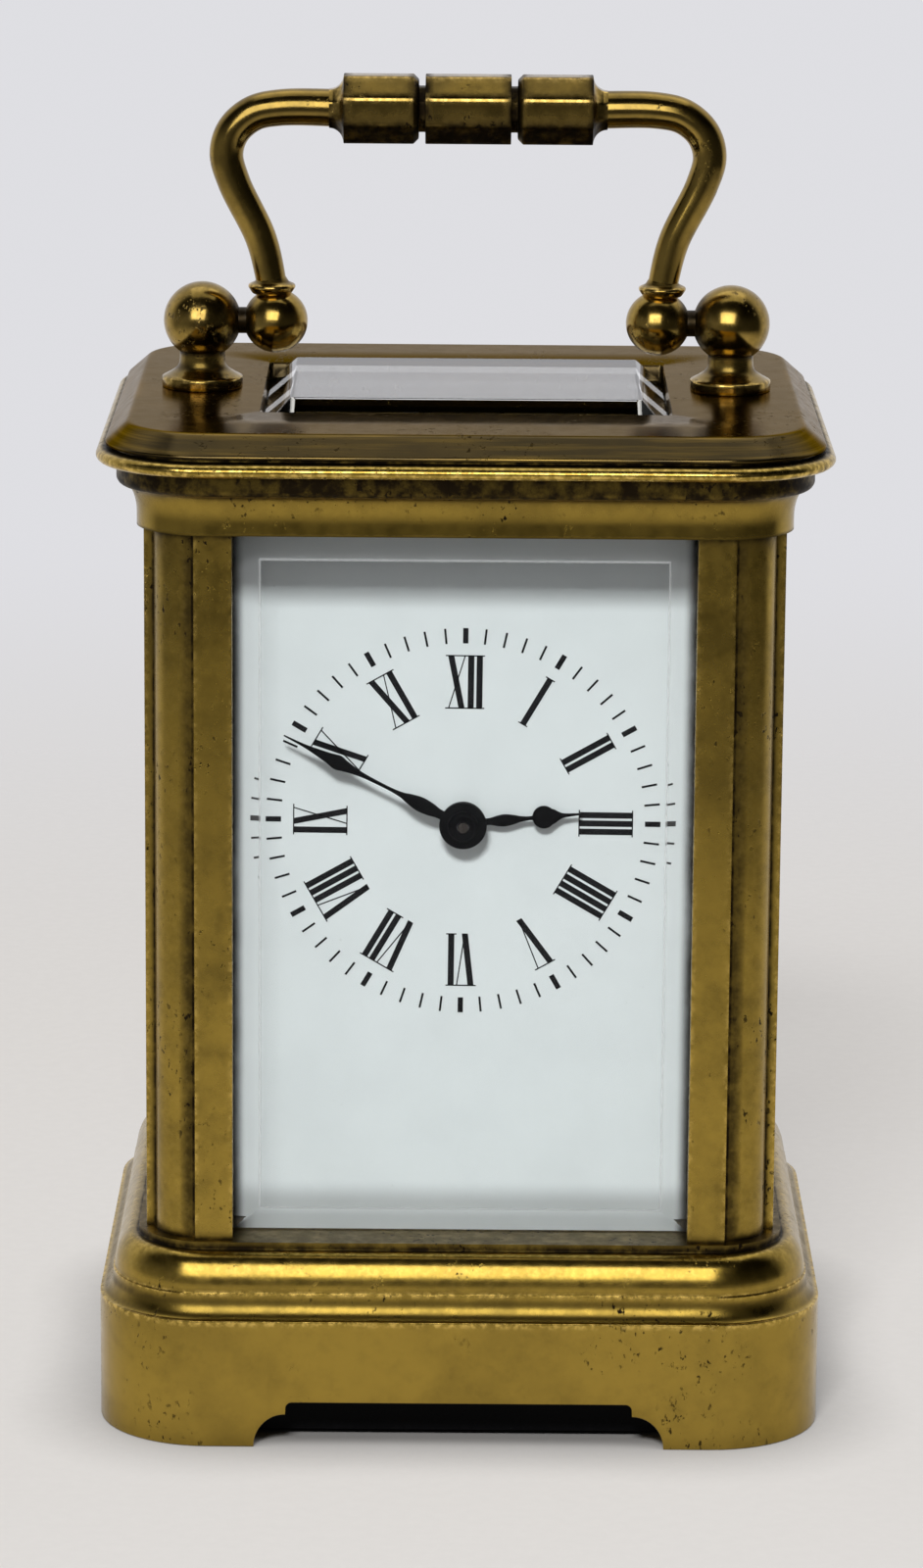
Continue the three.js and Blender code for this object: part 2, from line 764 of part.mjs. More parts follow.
// The middle line of one side of the bail, from its ball to the grip
function bailLine() {
  const gripEnd = gripMiddle / 2 + gripGroove + gripSide;
  const wide = bailX + bailBulge;
  const bendFoot = bailRise - bailBendHeight;
  return new THREE.CatmullRomCurve3([
    ...bailFlare.map(([out, up]) => [bailX + out * bailBulge, up * bendFoot]),
    ...arc(wide - bailBendWidth, bendFoot, bailBendWidth, bailBendHeight, 0, 90, 3),
    [gripEnd - bailBite, bailRise],
  ].map(([x, z]) => new THREE.Vector3(x, 0, z)));
}

function bailSide(side) {
  const line = bailLine();
  const rings = Array.from({ length: bailSteps + 1 }, (_, i) => {
    const share = i / bailSteps;
    const centre = line.getPointAt(share);
    const along = line.getTangentAt(share);
    const across = new THREE.Vector3().crossVectors(axisY, along);
    const radius = THREE.MathUtils.lerp(bailFootRadius, bailTopRadius, share);
    return circle(0, 0, radius, bailSides).map(([a, b]) => (
      centre.clone().addScaledVector(across, a).addScaledVector(axisY, -b)
    ));
  });
  const tube = loft(rings.map((ring) => ring.reverse()));
  return side > 0 ? tube : tube.rotateZ(Math.PI);
}

// Eight-sided grip along X, in three parts with grooves between them and coved ends
function grip() {
  const middle = gripMiddle / 2;
  const inner = middle + gripGroove;
  const outer = inner + gripSide;
  const full = gripFlats / 2;
  const half = [
    [middle, full],
    [middle, gripCoreRadius],
    [inner, gripCoreRadius],
    [inner, full - gripChamfer],
    [inner + gripChamfer, full],
    ...arc(outer + gripCove, full, gripCove, full - bailTopRadius, 180, 270, 3),
  ];
  const left = half.map(([x, flat]) => [-x, flat]).reverse();
  const halfSide = 180 / gripSides;
  const cornerShare = 1 / Math.cos(Math.PI / gripSides);
  const rings = [...left, ...half].map(([x, flat]) => {
    const reach = flat * cornerShare;
    return arc(0, bailRise, reach, reach, halfSide, 360 - halfSide, gripSides - 1)
      .map(([y, z]) => new THREE.Vector3(x, y, z));
  });
  return loft(rings);
}

function handleBail() {
  const balls = [-1, 1].map((side) => (
    turnedX(arc(0, 0, bailBallRadius, bailBallRadius, -90, 90, ballRings)).translate(side * bailX, 0, 0)
  ));
  const collarX = bailLine().getPoints(4 * bailSteps).find((point) => point.z >= collarHeight).x;
  const rim = collarThickness / 2;
  const collars = [-1, 1].map((side) => (
    turnedZ([[0, -rim], ...arc(collarRadius - rim, 0, rim, rim, -90, 90, 3), [0, rim]])
      .translate(side * collarX, 0, collarHeight)
  ));
  const body = join(grip(), bailSide(-1), bailSide(1), ...balls, ...collars);
  return cut(body, handlePinHole(-1), handlePinHole(1));
}

// Dial and hands, drawn about the dial's centre, which is also the middle of the movement's centre arbor

const dialCentreZ = baseHeight + dialCentreHeight;
const centrePlace = [0, dialCentreZ];
const dialFeet = [[-dialFootSide, -dialFootLow], [dialFootSide, dialFootHigh]];
const hourPipeInner = cannonPipeRadius + fitGap;
const hourPipeOuter = hourPipeInner + hourPipeWall;

function dialPlate() {
  const side = halfWidth - innerLipReach - dialSideMargin;
  const low = baseHeight + dialEndMargin - dialCentreZ;
  const high = pillarTop - dialEndMargin - dialCentreZ;
  const centreHole = circle(0, 0, hourPipeOuter + runGap, roundSteps);
  const plate = slabY(shapeOf(rectangle(-side, low, side, high), [centreHole]), 0, dialThickness);
  const footEnd = dialThickness + dialToPlate + plateThickness;
  const feet = dialFeet.map(([x, z]) => (
    turnedY(rodProfile(dialFootRadius, dialThickness / 2, footEnd), holeSteps).translate(x, 0, z)
  ));
  return join(plate, ...feet);
}

// A hand's blade from half widths along its length, pointing at twelve
function blade(form, length) {
  const right = form.map(([share, half]) => [half, share * length]);
  const left = form.map(([share, half]) => [-half, share * length]).reverse();
  return slabY(shapeOf([...right, ...left]), 0, handThickness);
}

function disc(z, radius) {
  return slabY(shapeOf(circle(0, z, radius, ballSteps)), 0, handThickness);
}

function minuteHand() {
  const body = join(blade(minuteHandForm, minuteHandLength), disc(0, minuteHubRadius));
  const hole = turnedY(rodProfile(cannonPipeRadius + seatGap / 2, -cutPast, handThickness + cutPast));
  const degrees = 6 * shownMinutes;
  return cut(body, hole).rotateY(THREE.MathUtils.degToRad(degrees));
}

function hourHand() {
  const pointer = blade(hourHandForm, hourHandLength);
  const body = join(pointer, disc(moonDistance, moonRadius), disc(0, hourHubRadius));
  const hole = turnedY(rodProfile(hourPipeOuter + seatGap / 2, -cutPast, handThickness + cutPast));
  const degrees = 30 * (shownHours + shownMinutes / 60);
  return cut(body, hole).rotateY(THREE.MathUtils.degToRad(degrees));
}

// A dished ring in front of the hands, round the end of the centre arbor
function handCollet() {
  const bore = centreArborRadius + seatGap / 2;
  return join(turnedY([
    [bore, colletDepth - colletThickness],
    [colletDish, colletDepth - colletThickness],
    [colletCrown, -colletThickness],
    [colletRadius, -colletThickness / 2],
    [colletRadius, 0],
    [bore, 0],
    [bore, colletDepth - colletThickness],
  ]));
}

// Toothed wheels, drawn about their axes in XZ with tooth number 0 at an angle in radians

function toothedOutline(teeth, module, phase) {
  const pitchRadius = (teeth * module) / 2;
  const tip = pitchRadius + toothHeight * module;
  const root = pitchRadius - toothRoot * module;
  const corners = [[root, -toothRootShare], [tip, 0], [root, toothRootShare]];
  return Array.from({ length: teeth }, (_, tooth) => corners.map(([radius, share]) => {
    const angle = phase + ((tooth + share) * 2 * Math.PI) / teeth;
    return [radius * Math.cos(angle), radius * Math.sin(angle)];
  })).flat();
}

function toothedWheel(teeth, module, phase, y0, y1) {
  return slabY(shapeOf(toothedOutline(teeth, module, phase)), y0, y1);
}

// The angle of a driven wheel's tooth number 0, so that its teeth fall in the driver's gaps
function meshPhase(directionDegrees, driverPhase, driverTeeth, drivenTeeth) {
  const direction = THREE.MathUtils.degToRad(directionDegrees);
  const ratio = driverTeeth / drivenTeeth;
  return direction + Math.PI + Math.PI / drivenTeeth + (direction - driverPhase) * ratio;
}

function meshDistance(teethA, teethB, module) {
  return ((teethA + teethB) * module) / 2;
}

const intermediatePlace = stepFrom(
  centrePlace, meshDistance(intermediateTeeth, centrePinionTeeth, intermediateModule), centreToIntermediate);
const barrelPlace = stepFrom(
  intermediatePlace, meshDistance(barrelTeeth, intermediatePinionTeeth, barrelModule), intermediateToBarrel);
const thirdPlace = stepFrom(
  centrePlace, meshDistance(centreTeeth, thirdPinionTeeth, centreModule), centreToThird);
const contratePlace = stepFrom(
  thirdPlace, meshDistance(thirdTeeth, contratePinionTeeth, thirdModule), thirdToContrate);
const minuteWheelPlace = stepFrom(
  centrePlace, meshDistance(cannonTeeth, minuteWheelTeeth, motionModule), centreToMinuteWheel);

// Layers of the train along Y
const barrelStart = frontPlateBack + barrelFront;
const barrelEnd = barrelStart + barrelLength;
const intermediateLayer = barrelEnd + intermediateBehindBarrel;
const centreLayer = barrelStart + wheelThickness * 2 + pinionLength + runGap;
const thirdLayer = centreLayer + pinionLength + thirdBehindCentre;
const contrateLayer = thirdLayer + pinionLength + contrateBehindThird;

// An arbor between the plates with a thinner pivot in each
function arbor(radius) {
  const shake = fitGap;
  return turnedY([
    [0, frontPlateFront + shake],
    [pivotRadius, frontPlateFront + shake],
    [pivotRadius, frontPlateBack + shake],
    [radius, frontPlateBack + shake],
    [radius, backPlateFront - shake],
    [pivotRadius, backPlateFront - shake],
    [pivotRadius, backPlateBack - shake],
    [0, backPlateBack - shake],
  ], holeSteps);
}

const barrelPhase = 0;
const intermediatePinionPhase = meshPhase(
  intermediateToBarrel + 180, barrelPhase, barrelTeeth, intermediatePinionTeeth);
const intermediatePhase = 0;
const centrePinionPhase = meshPhase(
  centreToIntermediate + 180, intermediatePhase, intermediateTeeth, centrePinionTeeth);
const centrePhase = 0;
const thirdPinionPhase = meshPhase(centreToThird, centrePhase, centreTeeth, thirdPinionTeeth);
const thirdPhase = 0;
const contratePinionPhase = meshPhase(thirdToContrate, thirdPhase, thirdTeeth, contratePinionTeeth);

// Room across the flats of the barrel's inside
const barrelBore = (barrelDrumRadius - barrelWall) * Math.cos(Math.PI / drumSteps);

function barrelDrum() {
  const inner = barrelDrumRadius - barrelWall;
  const rim = toothedWheel(barrelTeeth, barrelModule, barrelPhase, 0, barrelFloor);
  const drum = turnedY(rodProfile(barrelDrumRadius, 0, barrelLength), drumSteps);
  const hollow = turnedY(rodProfile(inner, barrelFloor, barrelLength + cutPast), drumSteps);
  const bore = turnedY(rodProfile(barrelPivotRadius + fitGap, -cutPast, barrelLength));
  return cut(join(rim, drum), hollow, bore);
}

function barrelCover() {
  const outer = barrelBore - fitGap;
  const inner = barrelPivotRadius + fitGap;
  return join(turnedY(tubeProfile(outer, inner, barrelLength - barrelWall, barrelLength), drumSteps));
}

// The winding arbor inside the barrel, thinner in the barrel's ends and the plates, with a square behind
function barrelArbor() {
  const inside = barrelStart + barrelFloor + fitGap;
  const insideEnd = barrelEnd - barrelWall - fitGap;
  const squareStart = backPlateBack + runGap + ratchetThickness;
  const squareEnd = backPlateBack + windingSquareEnd;
  const round = turnedY([
    [0, frontPlateFront + fitGap],
    [barrelPivotRadius, frontPlateFront + fitGap],
    [barrelPivotRadius, inside],
    [barrelArborRadius, inside],
    [barrelArborRadius, insideEnd],
    [barrelPivotRadius, insideEnd],
    [barrelPivotRadius, squareStart],
    [0, squareStart],
  ]);
  const half = windingSquareSide / 2;
  const square = slabY(shapeOf(rectangle(-half, -half, half, half)), squareStart - runGap, squareEnd);
  return join(round, square);
}

// A flat spiral strip about the Y axis, wound outwards from one radius to another
function spiralStrip(inner, outer, turns, thickness, y0, y1) {
  const steps = turns * springSteps;
  const rings = Array.from({ length: steps + 1 }, (_, i) => {
    const angle = (i / springSteps) * 2 * Math.PI;
    const radius = inner + ((outer - inner) * i) / steps;
    const corners = [[-1, y0], [1, y0], [1, y1], [-1, y1]];
    return corners.map(([side, y]) => {
      const reach = radius + (side * thickness) / 2;
      return new THREE.Vector3(reach * Math.cos(angle), y, reach * Math.sin(angle));
    });
  });
  return join(loft(rings));
}

// Measured across the flats of its steps
function tellGap(name, inner, outer, turns, thickness) {
  const gap = ((outer - inner) / turns) * Math.cos(Math.PI / springSteps) - thickness;
  console.log(`least gap between turns of the ${name}`, gap.toFixed(3));
}

function mainspring() {
  const outer = barrelBore - runGap - mainspringThickness / 2;
  const inner = barrelArborRadius + runGap + mainspringThickness / 2;
  const middle = (barrelStart + barrelFloor + barrelEnd - barrelWall) / 2;
  const half = mainspringHeight / 2;
  tellGap('mainspring', inner, outer, mainspringTurns, mainspringThickness);
  return spiralStrip(inner, outer, mainspringTurns, mainspringThickness, middle - half, middle + half);
}

function intermediateWheel() {
  const pinionStart = barrelStart - pinionLead;
  const pinion = toothedWheel(intermediatePinionTeeth, barrelModule, intermediatePinionPhase,
    pinionStart, pinionStart + pinionLength);
  const wheel = toothedWheel(intermediateTeeth, intermediateModule, intermediatePhase,
    intermediateLayer, intermediateLayer + wheelThickness);
  return join(arbor(arborRadius), pinion, wheel);
}

function centreWheel() {
  const pinionStart = intermediateLayer - (pinionLength - wheelThickness) / 2;
  const wheel = toothedWheel(centreTeeth, centreModule, centrePhase,
    centreLayer, centreLayer + wheelThickness);
  const pinion = toothedWheel(centrePinionTeeth, intermediateModule, centrePinionPhase,
    pinionStart, pinionStart + pinionLength);
  const pipeEnd = pinionStart + pinionLength + centrePipeEnd;
  const pipe = turnedY(rodProfile(centrePipeRadius, centreLayer - centrePipeEnd, pipeEnd));
  const bore = turnedY(rodProfile(centreArborRadius + seatGap, frontPlateBack, backPlateFront));
  return cut(join(wheel, pinion, pipe), bore);
}

// The centre arbor carries the hands, and its square behind sets them
function centreArbor() {
  const half = handSquareSide / 2;
  const squareStart = backPlateBack + runGap;
  const round = turnedY(rodProfile(centreArborRadius, minuteHandFront - colletThickness, squareStart));
  const square = slabY(shapeOf(rectangle(-half, -half, half, half)), squareStart - runGap,
    backPlateBack + handSquareEnd);
  return join(round, square);
}

function thirdWheel() {
  const pinionStart = centreLayer - (pinionLength - wheelThickness) / 2;
  const pinion = toothedWheel(thirdPinionTeeth, centreModule, thirdPinionPhase,
    pinionStart, pinionStart + pinionLength);
  const wheel = toothedWheel(thirdTeeth, thirdModule, thirdPhase, thirdLayer, thirdLayer + wheelThickness);
  return join(arbor(thirdArborRadius), pinion, wheel);
}

const crownRadius = (contrateTeeth * contrateModule) / 2;

// A crown wheel: a disc whose teeth stand towards the front
function contrateWheel() {
  const pinionStart = thirdLayer - (pinionLength - wheelThickness) / 2;
  const pinion = toothedWheel(contratePinionTeeth, thirdModule, contratePinionPhase,
    pinionStart, pinionStart + pinionLength);
  const edge = crownRadius + crownRim / 2;
  const plate = turnedY(rodProfile(edge, contrateLayer, contrateLayer + wheelThickness), contrateTeeth);
  const rootHalf = (toothRootShare * 2 * Math.PI * crownRadius) / contrateTeeth;
  const tooth = slabZ(shapeOf([
    [-rootHalf, contrateLayer + crownToothFoot],
    [0, contrateLayer - crownToothHeight],
    [rootHalf, contrateLayer + crownToothFoot],
  ]), edge - crownRim, edge - crownToothInset);
  const teeth = Array.from({ length: contrateTeeth }, (_, i) => (
    tooth.clone().rotateY((i / contrateTeeth) * 2 * Math.PI)
  ));
  return join(arbor(arborRadius), pinion, plate, ...teeth);
}

// Motion work

const cannonStart = frontPlateFront - fitGap;
const cannonFront = cannonStart - cannonPinionLength;
const hourWheelBack = cannonFront - runGap;
const hourWheelFront = hourWheelBack - motionWheelThickness;
const cannonPhase = 0;
const minuteWheelPhase = meshPhase(centreToMinuteWheel, cannonPhase, cannonTeeth, minuteWheelTeeth);
const minutePinionPhase = 0;
const hourWheelPhase = meshPhase(
  centreToMinuteWheel + 180, minutePinionPhase, minutePinionTeeth, hourWheelTeeth);

function cannonPinion() {
  const pinion = toothedWheel(cannonTeeth, motionModule, cannonPhase, cannonFront, cannonStart);
  const pipe = turnedY(rodProfile(cannonPipeRadius, minuteHandFront, cannonStart));
  const boreRadius = centreArborRadius + seatGap / 2;
  const bore = turnedY(rodProfile(boreRadius, minuteHandFront - cutPast, cannonStart + cutPast));
  return cut(join(pinion, pipe), bore);
}

function minuteWheel() {
  const wheelBack = cannonStart - minuteWheelInset;
  const wheelMiddle = wheelBack - motionWheelThickness / 2;
  const wheel = toothedWheel(minuteWheelTeeth, motionModule, minuteWheelPhase,
    wheelBack - motionWheelThickness, wheelBack);
  const pinion = toothedWheel(minutePinionTeeth, motionModule, minutePinionPhase,
    hourWheelFront - seatGap, wheelMiddle);
  const pivot = turnedY(rodProfile(pivotRadius, wheelMiddle, frontPlateBack - fitGap), holeSteps);
  return join(wheel, pinion, pivot);
}

function hourWheel() {
  const wheel = toothedWheel(hourWheelTeeth, motionModule, hourWheelPhase, hourWheelFront, hourWheelBack);
  const pipe = turnedY(rodProfile(hourPipeOuter, hourHandFront, hourWheelBack));
  const bore = turnedY(rodProfile(hourPipeInner, hourHandFront - cutPast, hourWheelBack + cutPast));
  return cut(join(wheel, pipe), bore);
}

// Movement frame

function framePillarPlaces() {
  const low = baseHeight + framePillarLow;
  const high = baseHeight + framePillarHigh;
  return [[-framePillarX, low], [framePillarX, low], [-framePillarX, high], [framePillarX, high]];
}

function movementPlate(y0, y1, holes) {
  const half = plateWidth / 2;
  const rounds = holes.map(([[x, z], radius]) => circle(x, z, radius + fitGap, holeSteps));
  return join(slabY(shapeOf(rectangle(-half, baseHeight, half, plateTop), rounds), y0, y1));
}

function sharedPlateHoles() {
  return [
    ...framePillarPlaces().map((place) => [place, framePillarTenon]),
    [centrePlace, centreArborRadius],
    [barrelPlace, barrelPivotRadius],
    [intermediatePlace, pivotRadius],
    [thirdPlace, pivotRadius],
    [contratePlace, pivotRadius],
  ];
}

function frontPlate() {
  const feet = dialFeet.map(([x, z]) => [[x, z + dialCentreZ], dialFootRadius]);
  return movementPlate(frontPlateFront, frontPlateBack,
    [...sharedPlateHoles(), ...feet, [minuteWheelPlace, pivotRadius]]);
}

function backPlate() {
  return movementPlate(backPlateFront, backPlateBack,
    [...sharedPlateHoles(), [clickPlace, clickStudRadius], [clickSpringPlace, clickStudRadius]]);
}

function framePillar(low) {
  const profile = [
    [0, frontPlateFront],
    [framePillarTenon, frontPlateFront],
    [framePillarTenon, frontPlateBack],
    [framePillarRadius, frontPlateBack],
    [framePillarRadius, backPlateFront],
    [framePillarTenon, backPlateFront],
    [framePillarTenon, backPlateBack],
    [0, backPlateBack],
  ];
  const body = turnedY(profile);
  const middle = (frontPlateBack + backPlateFront) / 2;
  const holeLow = -framePillarRadius - cutPast;
  const hole = turnedZ(rodProfile(screwRadius + fitGap, holeLow, framePillarRadius / 2), holeSteps)
    .translate(0, middle, 0);
  return low ? cut(body, hole) : join(body);
}

// Winding work

const clickPlace = stepFrom(barrelPlace, clickDistance, clickDirection);
const clickTip = stepFrom(barrelPlace, ratchetRadius + fitGap, clickTipDirection);
const clickSpringPlace = stepFrom(barrelPlace, clickSpringDistance, clickSpringDirection);
const windingLayer = backPlateBack + runGap;

function ratchetWheel() {
  const outline = Array.from({ length: ratchetTeeth }, (_, i) => {
    const degrees = (i / ratchetTeeth) * 360;
    return [
      stepFrom(axisPoint, ratchetRadius - ratchetToothDepth, degrees),
      stepFrom(axisPoint, ratchetRadius, degrees + ratchetRake),
    ];
  }).flat();
  const bore = circle(0, 0, barrelPivotRadius + seatGap / 2, roundSteps);
  return join(windingSlab(outline, [bore]));
}

function windingSlab(outline, holes = []) {
  return slabY(shapeOf(outline, holes), windingLayer, windingLayer + ratchetThickness);
}

function windingStud() {
  const end = windingLayer + ratchetThickness / 2;
  return turnedY(rodProfile(clickStudRadius, backPlateFront + fitGap, end), holeSteps);
}

// A point at a share of the way along a reach and at a distance to its left
function besideReach(reach, share, aside) {
  const across = new THREE.Vector2(-reach.y, reach.x).normalize();
  return [reach.x * share + across.x * aside, reach.y * share + across.y * aside];
}

// Click about its stud: an eye with a tapered arm that reaches the ratchet's teeth
function click() {
  const arm = new THREE.Vector2(clickTip[0] - clickPlace[0], clickTip[1] - clickPlace[1]);
  const outline = [
    besideReach(arm, 0, clickArmOuter),
    besideReach(arm, 1, clickTipOuter),
    besideReach(arm, 1, -clickTipInner),
    besideReach(arm, 0, -clickArmInner),
  ];
  return join(windingSlab(circle(0, 0, clickEyeRadius, roundSteps)), windingSlab(outline), windingStud());
}

// Click spring: a screw-like foot and a leaf that leans on the back of the click
function clickSpring() {
  const reach = new THREE.Vector2(clickPlace[0] - clickSpringPlace[0], clickPlace[1] - clickSpringPlace[1]);
  const half = clickSpringThickness / 2;
  const leafEnd = 1 - (clickEyeRadius + 2 * runGap) / reach.length();
  const leaf = windingSlab([
    besideReach(reach, 0, -half),
    besideReach(reach, leafEnd, -half),
    besideReach(reach, leafEnd, half),
    besideReach(reach, 0, half),
  ]);
  return join(leaf, windingSlab(circle(0, 0, clickSpringFoot, roundSteps)), windingStud());
}

// Platform escapement, in plan: the escape arbor stands over the crown wheel's front

const escapeRoot = (escapePinionTeeth / 2 - toothRoot) * contrateModule;
const escapePlace = [contratePlace[0], contrateLayer - crownToothHeight - escapeRoot - seatGap];
const leverPlace = stepFrom(escapePlace, leverDistance, escapeToLever);
const balancePlace = stepFrom(leverPlace, balanceDistance, leverToBalance);
const escapePinionLow = contratePlace[1] + crownRadius - crownRim - escapePinionDrop;

function platformPlate() {
  const half = platformWidth / 2;
  const holes = [
    circle(...escapePlace, escapeRoot + fitGap),
    circle(...leverPlace, pivotRadius + fitGap),
    circle(...balancePlace, pivotRadius + fitGap),
  ];
  const outline = rectangle(-half, frontPlateFront, half, backPlateBack);
  return join(slabZ(shapeOf(outline, holes), plateTop, platformTop));
}

function escapeWheel() {
  const outline = Array.from({ length: escapeTeeth }, (_, i) => {
    const foot = (i / escapeTeeth) * 360;
    const tip = foot + escapeToothFace;
    const tipEnd = tip + escapeToothTip;
    return [
      stepFrom(axisPoint, escapeRootRadius, foot),
      stepFrom(axisPoint, escapeRadius, tip),
      stepFrom(axisPoint, escapeRadius, tipEnd),
      stepFrom(axisPoint, escapeRootRadius, tipEnd + escapeToothBack),
    ];
  }).flat();
  const wheelLow = platformTop + escapeLevel;
  const wheel = slabZ(shapeOf(outline), wheelLow, wheelLow + wheelThickness);
  const gapTowardsCrown = Math.PI / 2 + Math.PI / escapePinionTeeth;
  const pinion = slabZ(shapeOf(toothedOutline(escapePinionTeeth, contrateModule, gapTowardsCrown)),
    escapePinionLow, plateTop - runGap);
  const shaft = turnedZ([
    [0, escapePinionLow],
    [escapeRoot, escapePinionLow],
    [escapeRoot, platformTop + runGap],
    [escapeHubRadius, platformTop + runGap],
    [escapeHubRadius, wheelLow + wheelThickness + runGap],
    [0, wheelLow + wheelThickness + runGap],
  ]);
  return join(wheel, pinion, shaft);
}

// Lever: a bar from the pallets to the fork, with two pallet arms that stay clear of the wheel's tips
function palletLever() {
  const low = platformTop + escapeLevel;
  const high = low + wheelThickness;
  const towardsEscape = THREE.MathUtils.degToRad(escapeToLever + 180);
  const towardsBalance = THREE.MathUtils.degToRad(leverToBalance);
  const side = leverWidth / 2;
  const prong = forkWidth / 2;
  const slot = forkSlot / 2;
  const slotFoot = leverFork - forkDepth;
  const forkFoot = slotFoot - forkBack;
  const bar = slabZ(shapeOf([
    [0, -side],
    [forkFoot, -side],
    [forkFoot, -prong],
    [leverFork, -prong],
    [leverFork, -slot],
    [slotFoot, -slot],
    [slotFoot, slot],
    [leverFork, slot],
    [leverFork, prong],
    [forkFoot, prong],
    [forkFoot, side],
    [0, side],
  ]), low, high).rotateZ(towardsBalance);
  const reach = leverDistance - escapeRadius - runGap;
  const arms = slabZ(shapeOf([
    [-palletBack, -palletReach],
    [0, -palletReach - palletTip],
    [reach, -palletReach],
    [reach / 3, 0],
    [reach, palletReach],
    [0, palletReach + palletTip],
    [-palletBack, palletReach],
  ]), low, high).rotateZ(towardsEscape);
  const pivot = turnedZ([
    [0, plateTop + fitGap],
    [pivotRadius, plateTop + fitGap],
    [pivotRadius, platformTop + runGap],
    [leverHubRadius, platformTop + runGap],
    [leverHubRadius, high + runGap],
    [0, high + runGap],
  ]);
  return join(bar, arms, pivot);
}

function balanceWheel() {
  const low = platformTop + balanceLevel;
  const high = low + balanceThickness;
  const rim = turnedZ(tubeProfile(balanceRadius, balanceRadius - balanceRim, low, high), drumSteps);
  const spokeX = balanceRadius - balanceRim / 2;
  const spokeY = balanceSpokeWidth / 2;
  const spoke = block(-spokeX, -spokeY, low + balanceSpokeInset, spokeX, spokeY, high - balanceSpokeInset);
  const rollerLow = platformTop + escapeLevel;
  const staffTop = platformTop + cockLevel + cockThickness - fitGap;
  const staff = turnedZ([
    [0, plateTop + fitGap],
    [pivotRadius, plateTop + fitGap],
    [pivotRadius, platformTop + runGap],
    [arborRadius, platformTop + runGap],
    [arborRadius, rollerLow],
    [rollerRadius, rollerLow],
    [rollerRadius, rollerLow + wheelThickness],
    [arborRadius, rollerLow + wheelThickness],
    [arborRadius, platformTop + cockLevel - fitGap],
    [pivotRadius, platformTop + cockLevel - fitGap],
    [pivotRadius, staffTop],
    [0, staffTop],
  ]);
  return join(rim, spoke, staff);
}

// Cock about the balance's axis: a foot on the platform and an arm over the balance
function balanceCock() {
  const low = platformTop + cockLevel;
  const high = low + cockThickness;
  const foot = turnedZ(rodProfile(cockFootRadius, platformTop, high)).translate(cockFootDistance, 0, 0);
  const arm = slabZ(shapeOf([
    [cockFootDistance, -cockArmWidth / 2],
    [cockFootDistance, cockArmWidth / 2],
    ...arc(0, 0, cockNoseRadius, cockNoseRadius, 90, 270, roundSteps / 2),
  ]), low, high);
  const hole = turnedZ(rodProfile(pivotRadius + fitGap, low - cutPast, high + cutPast), holeSteps);
  const studX = hairspringOuter + runGap;
  const studSide = hairspringStud / 2;
  const studLow = hairspringLevel() - studSide;
  const stud = block(studX, -studSide, studLow, studX + hairspringStud, studSide, (low + high) / 2);
  const body = cut(join(foot, arm, stud), hole);
  return body.rotateZ(THREE.MathUtils.degToRad(leverToBalance));
}

function hairspringLevel() {
  return platformTop + (balanceLevel + balanceThickness + cockLevel) / 2;
}

function hairspring() {
  const half = hairspringWire / 2;
  const strip = spiralStrip(hairspringInner, hairspringOuter, hairspringTurns, hairspringWire, -half, half);
  tellGap('hairspring', hairspringInner, hairspringOuter, hairspringTurns, hairspringWire);
  const turn = THREE.MathUtils.degToRad(leverToBalance);
  return strip.rotateX(Math.PI / 2).rotateZ(turn).translate(0, 0, hairspringLevel());
}

// Rear door, hinged on two pins in the stile at the right

function doorFrame() {
  const low = baseHeight + doorEndGap;
  const high = pillarTop - doorEndGap;
  const windowX = doorEdgeX - doorStile;
  const panel = block(-doorEdgeX, doorInside, low, doorPinX, doorOutside, high);
  const knuckle = turnedZ(rodProfile(doorThickness / 2, low, high), ballSteps)
    .translate(doorPinX, doorPinY, 0);
  const window = block(-windowX, doorInside - cutPast, low + doorStile,
    windowX, doorOutside + cutPast, high - doorStile);
  const rebateDepth = glassThickness + seatGap;
  const rebate = block(-windowX - doorRebate, doorInside - cutPast, low + doorStile - doorRebate,
    windowX + doorRebate, doorInside + rebateDepth, high - doorStile + doorRebate);
  const pinDepth = doorPinReach + fitGap;
  const pinHoles = [[low - cutPast, low + pinDepth], [high - pinDepth, high + cutPast]].map(([z0, z1]) => (
    turnedZ(rodProfile(doorPinRadius + fitGap, z0, z1), holeSteps).translate(doorPinX, doorPinY, 0)
  ));
  const knobHoleFoot = doorOutside - doorKnobStudLength - fitGap;
  const knobHole = turnedY(rodProfile(doorKnobStud + fitGap, knobHoleFoot, doorOutside + cutPast), holeSteps)
    .translate(doorKnobX, 0, doorKnobZ);
  return cut(join(panel, knuckle), window, rebate, ...pinHoles, knobHole);
}

const doorKnobX = -doorEdgeX + doorStile / 2;
const doorKnobZ = (baseHeight + pillarTop) / 2;

function doorGlass() {
  const width = 2 * (doorEdgeX - doorStile + doorRebate - seatGap);
  const height = pillarHeight - 2 * (doorEndGap + doorStile - doorRebate + seatGap);
  const turn = new THREE.Matrix4().makeBasis(axisX.clone().negate(), axisZ, axisY);
  return pane(width, height, glassThickness, glassEdgeThickness, glassBevel + doorRebate).applyMatrix4(turn);
}

function doorKnob() {
  return join(turnedY([
    [0, -doorKnobStudLength],
    [doorKnobStud, -doorKnobStudLength],
    [doorKnobStud, 0],
    [doorKnobFootRadius, 0],
    [doorKnobNeckRadius, doorKnobNeckHeight],
    ...arc(0, doorKnobLength - doorKnobHead, doorKnobRadius, doorKnobHead, -20, 90, curveSteps),
  ]));
}

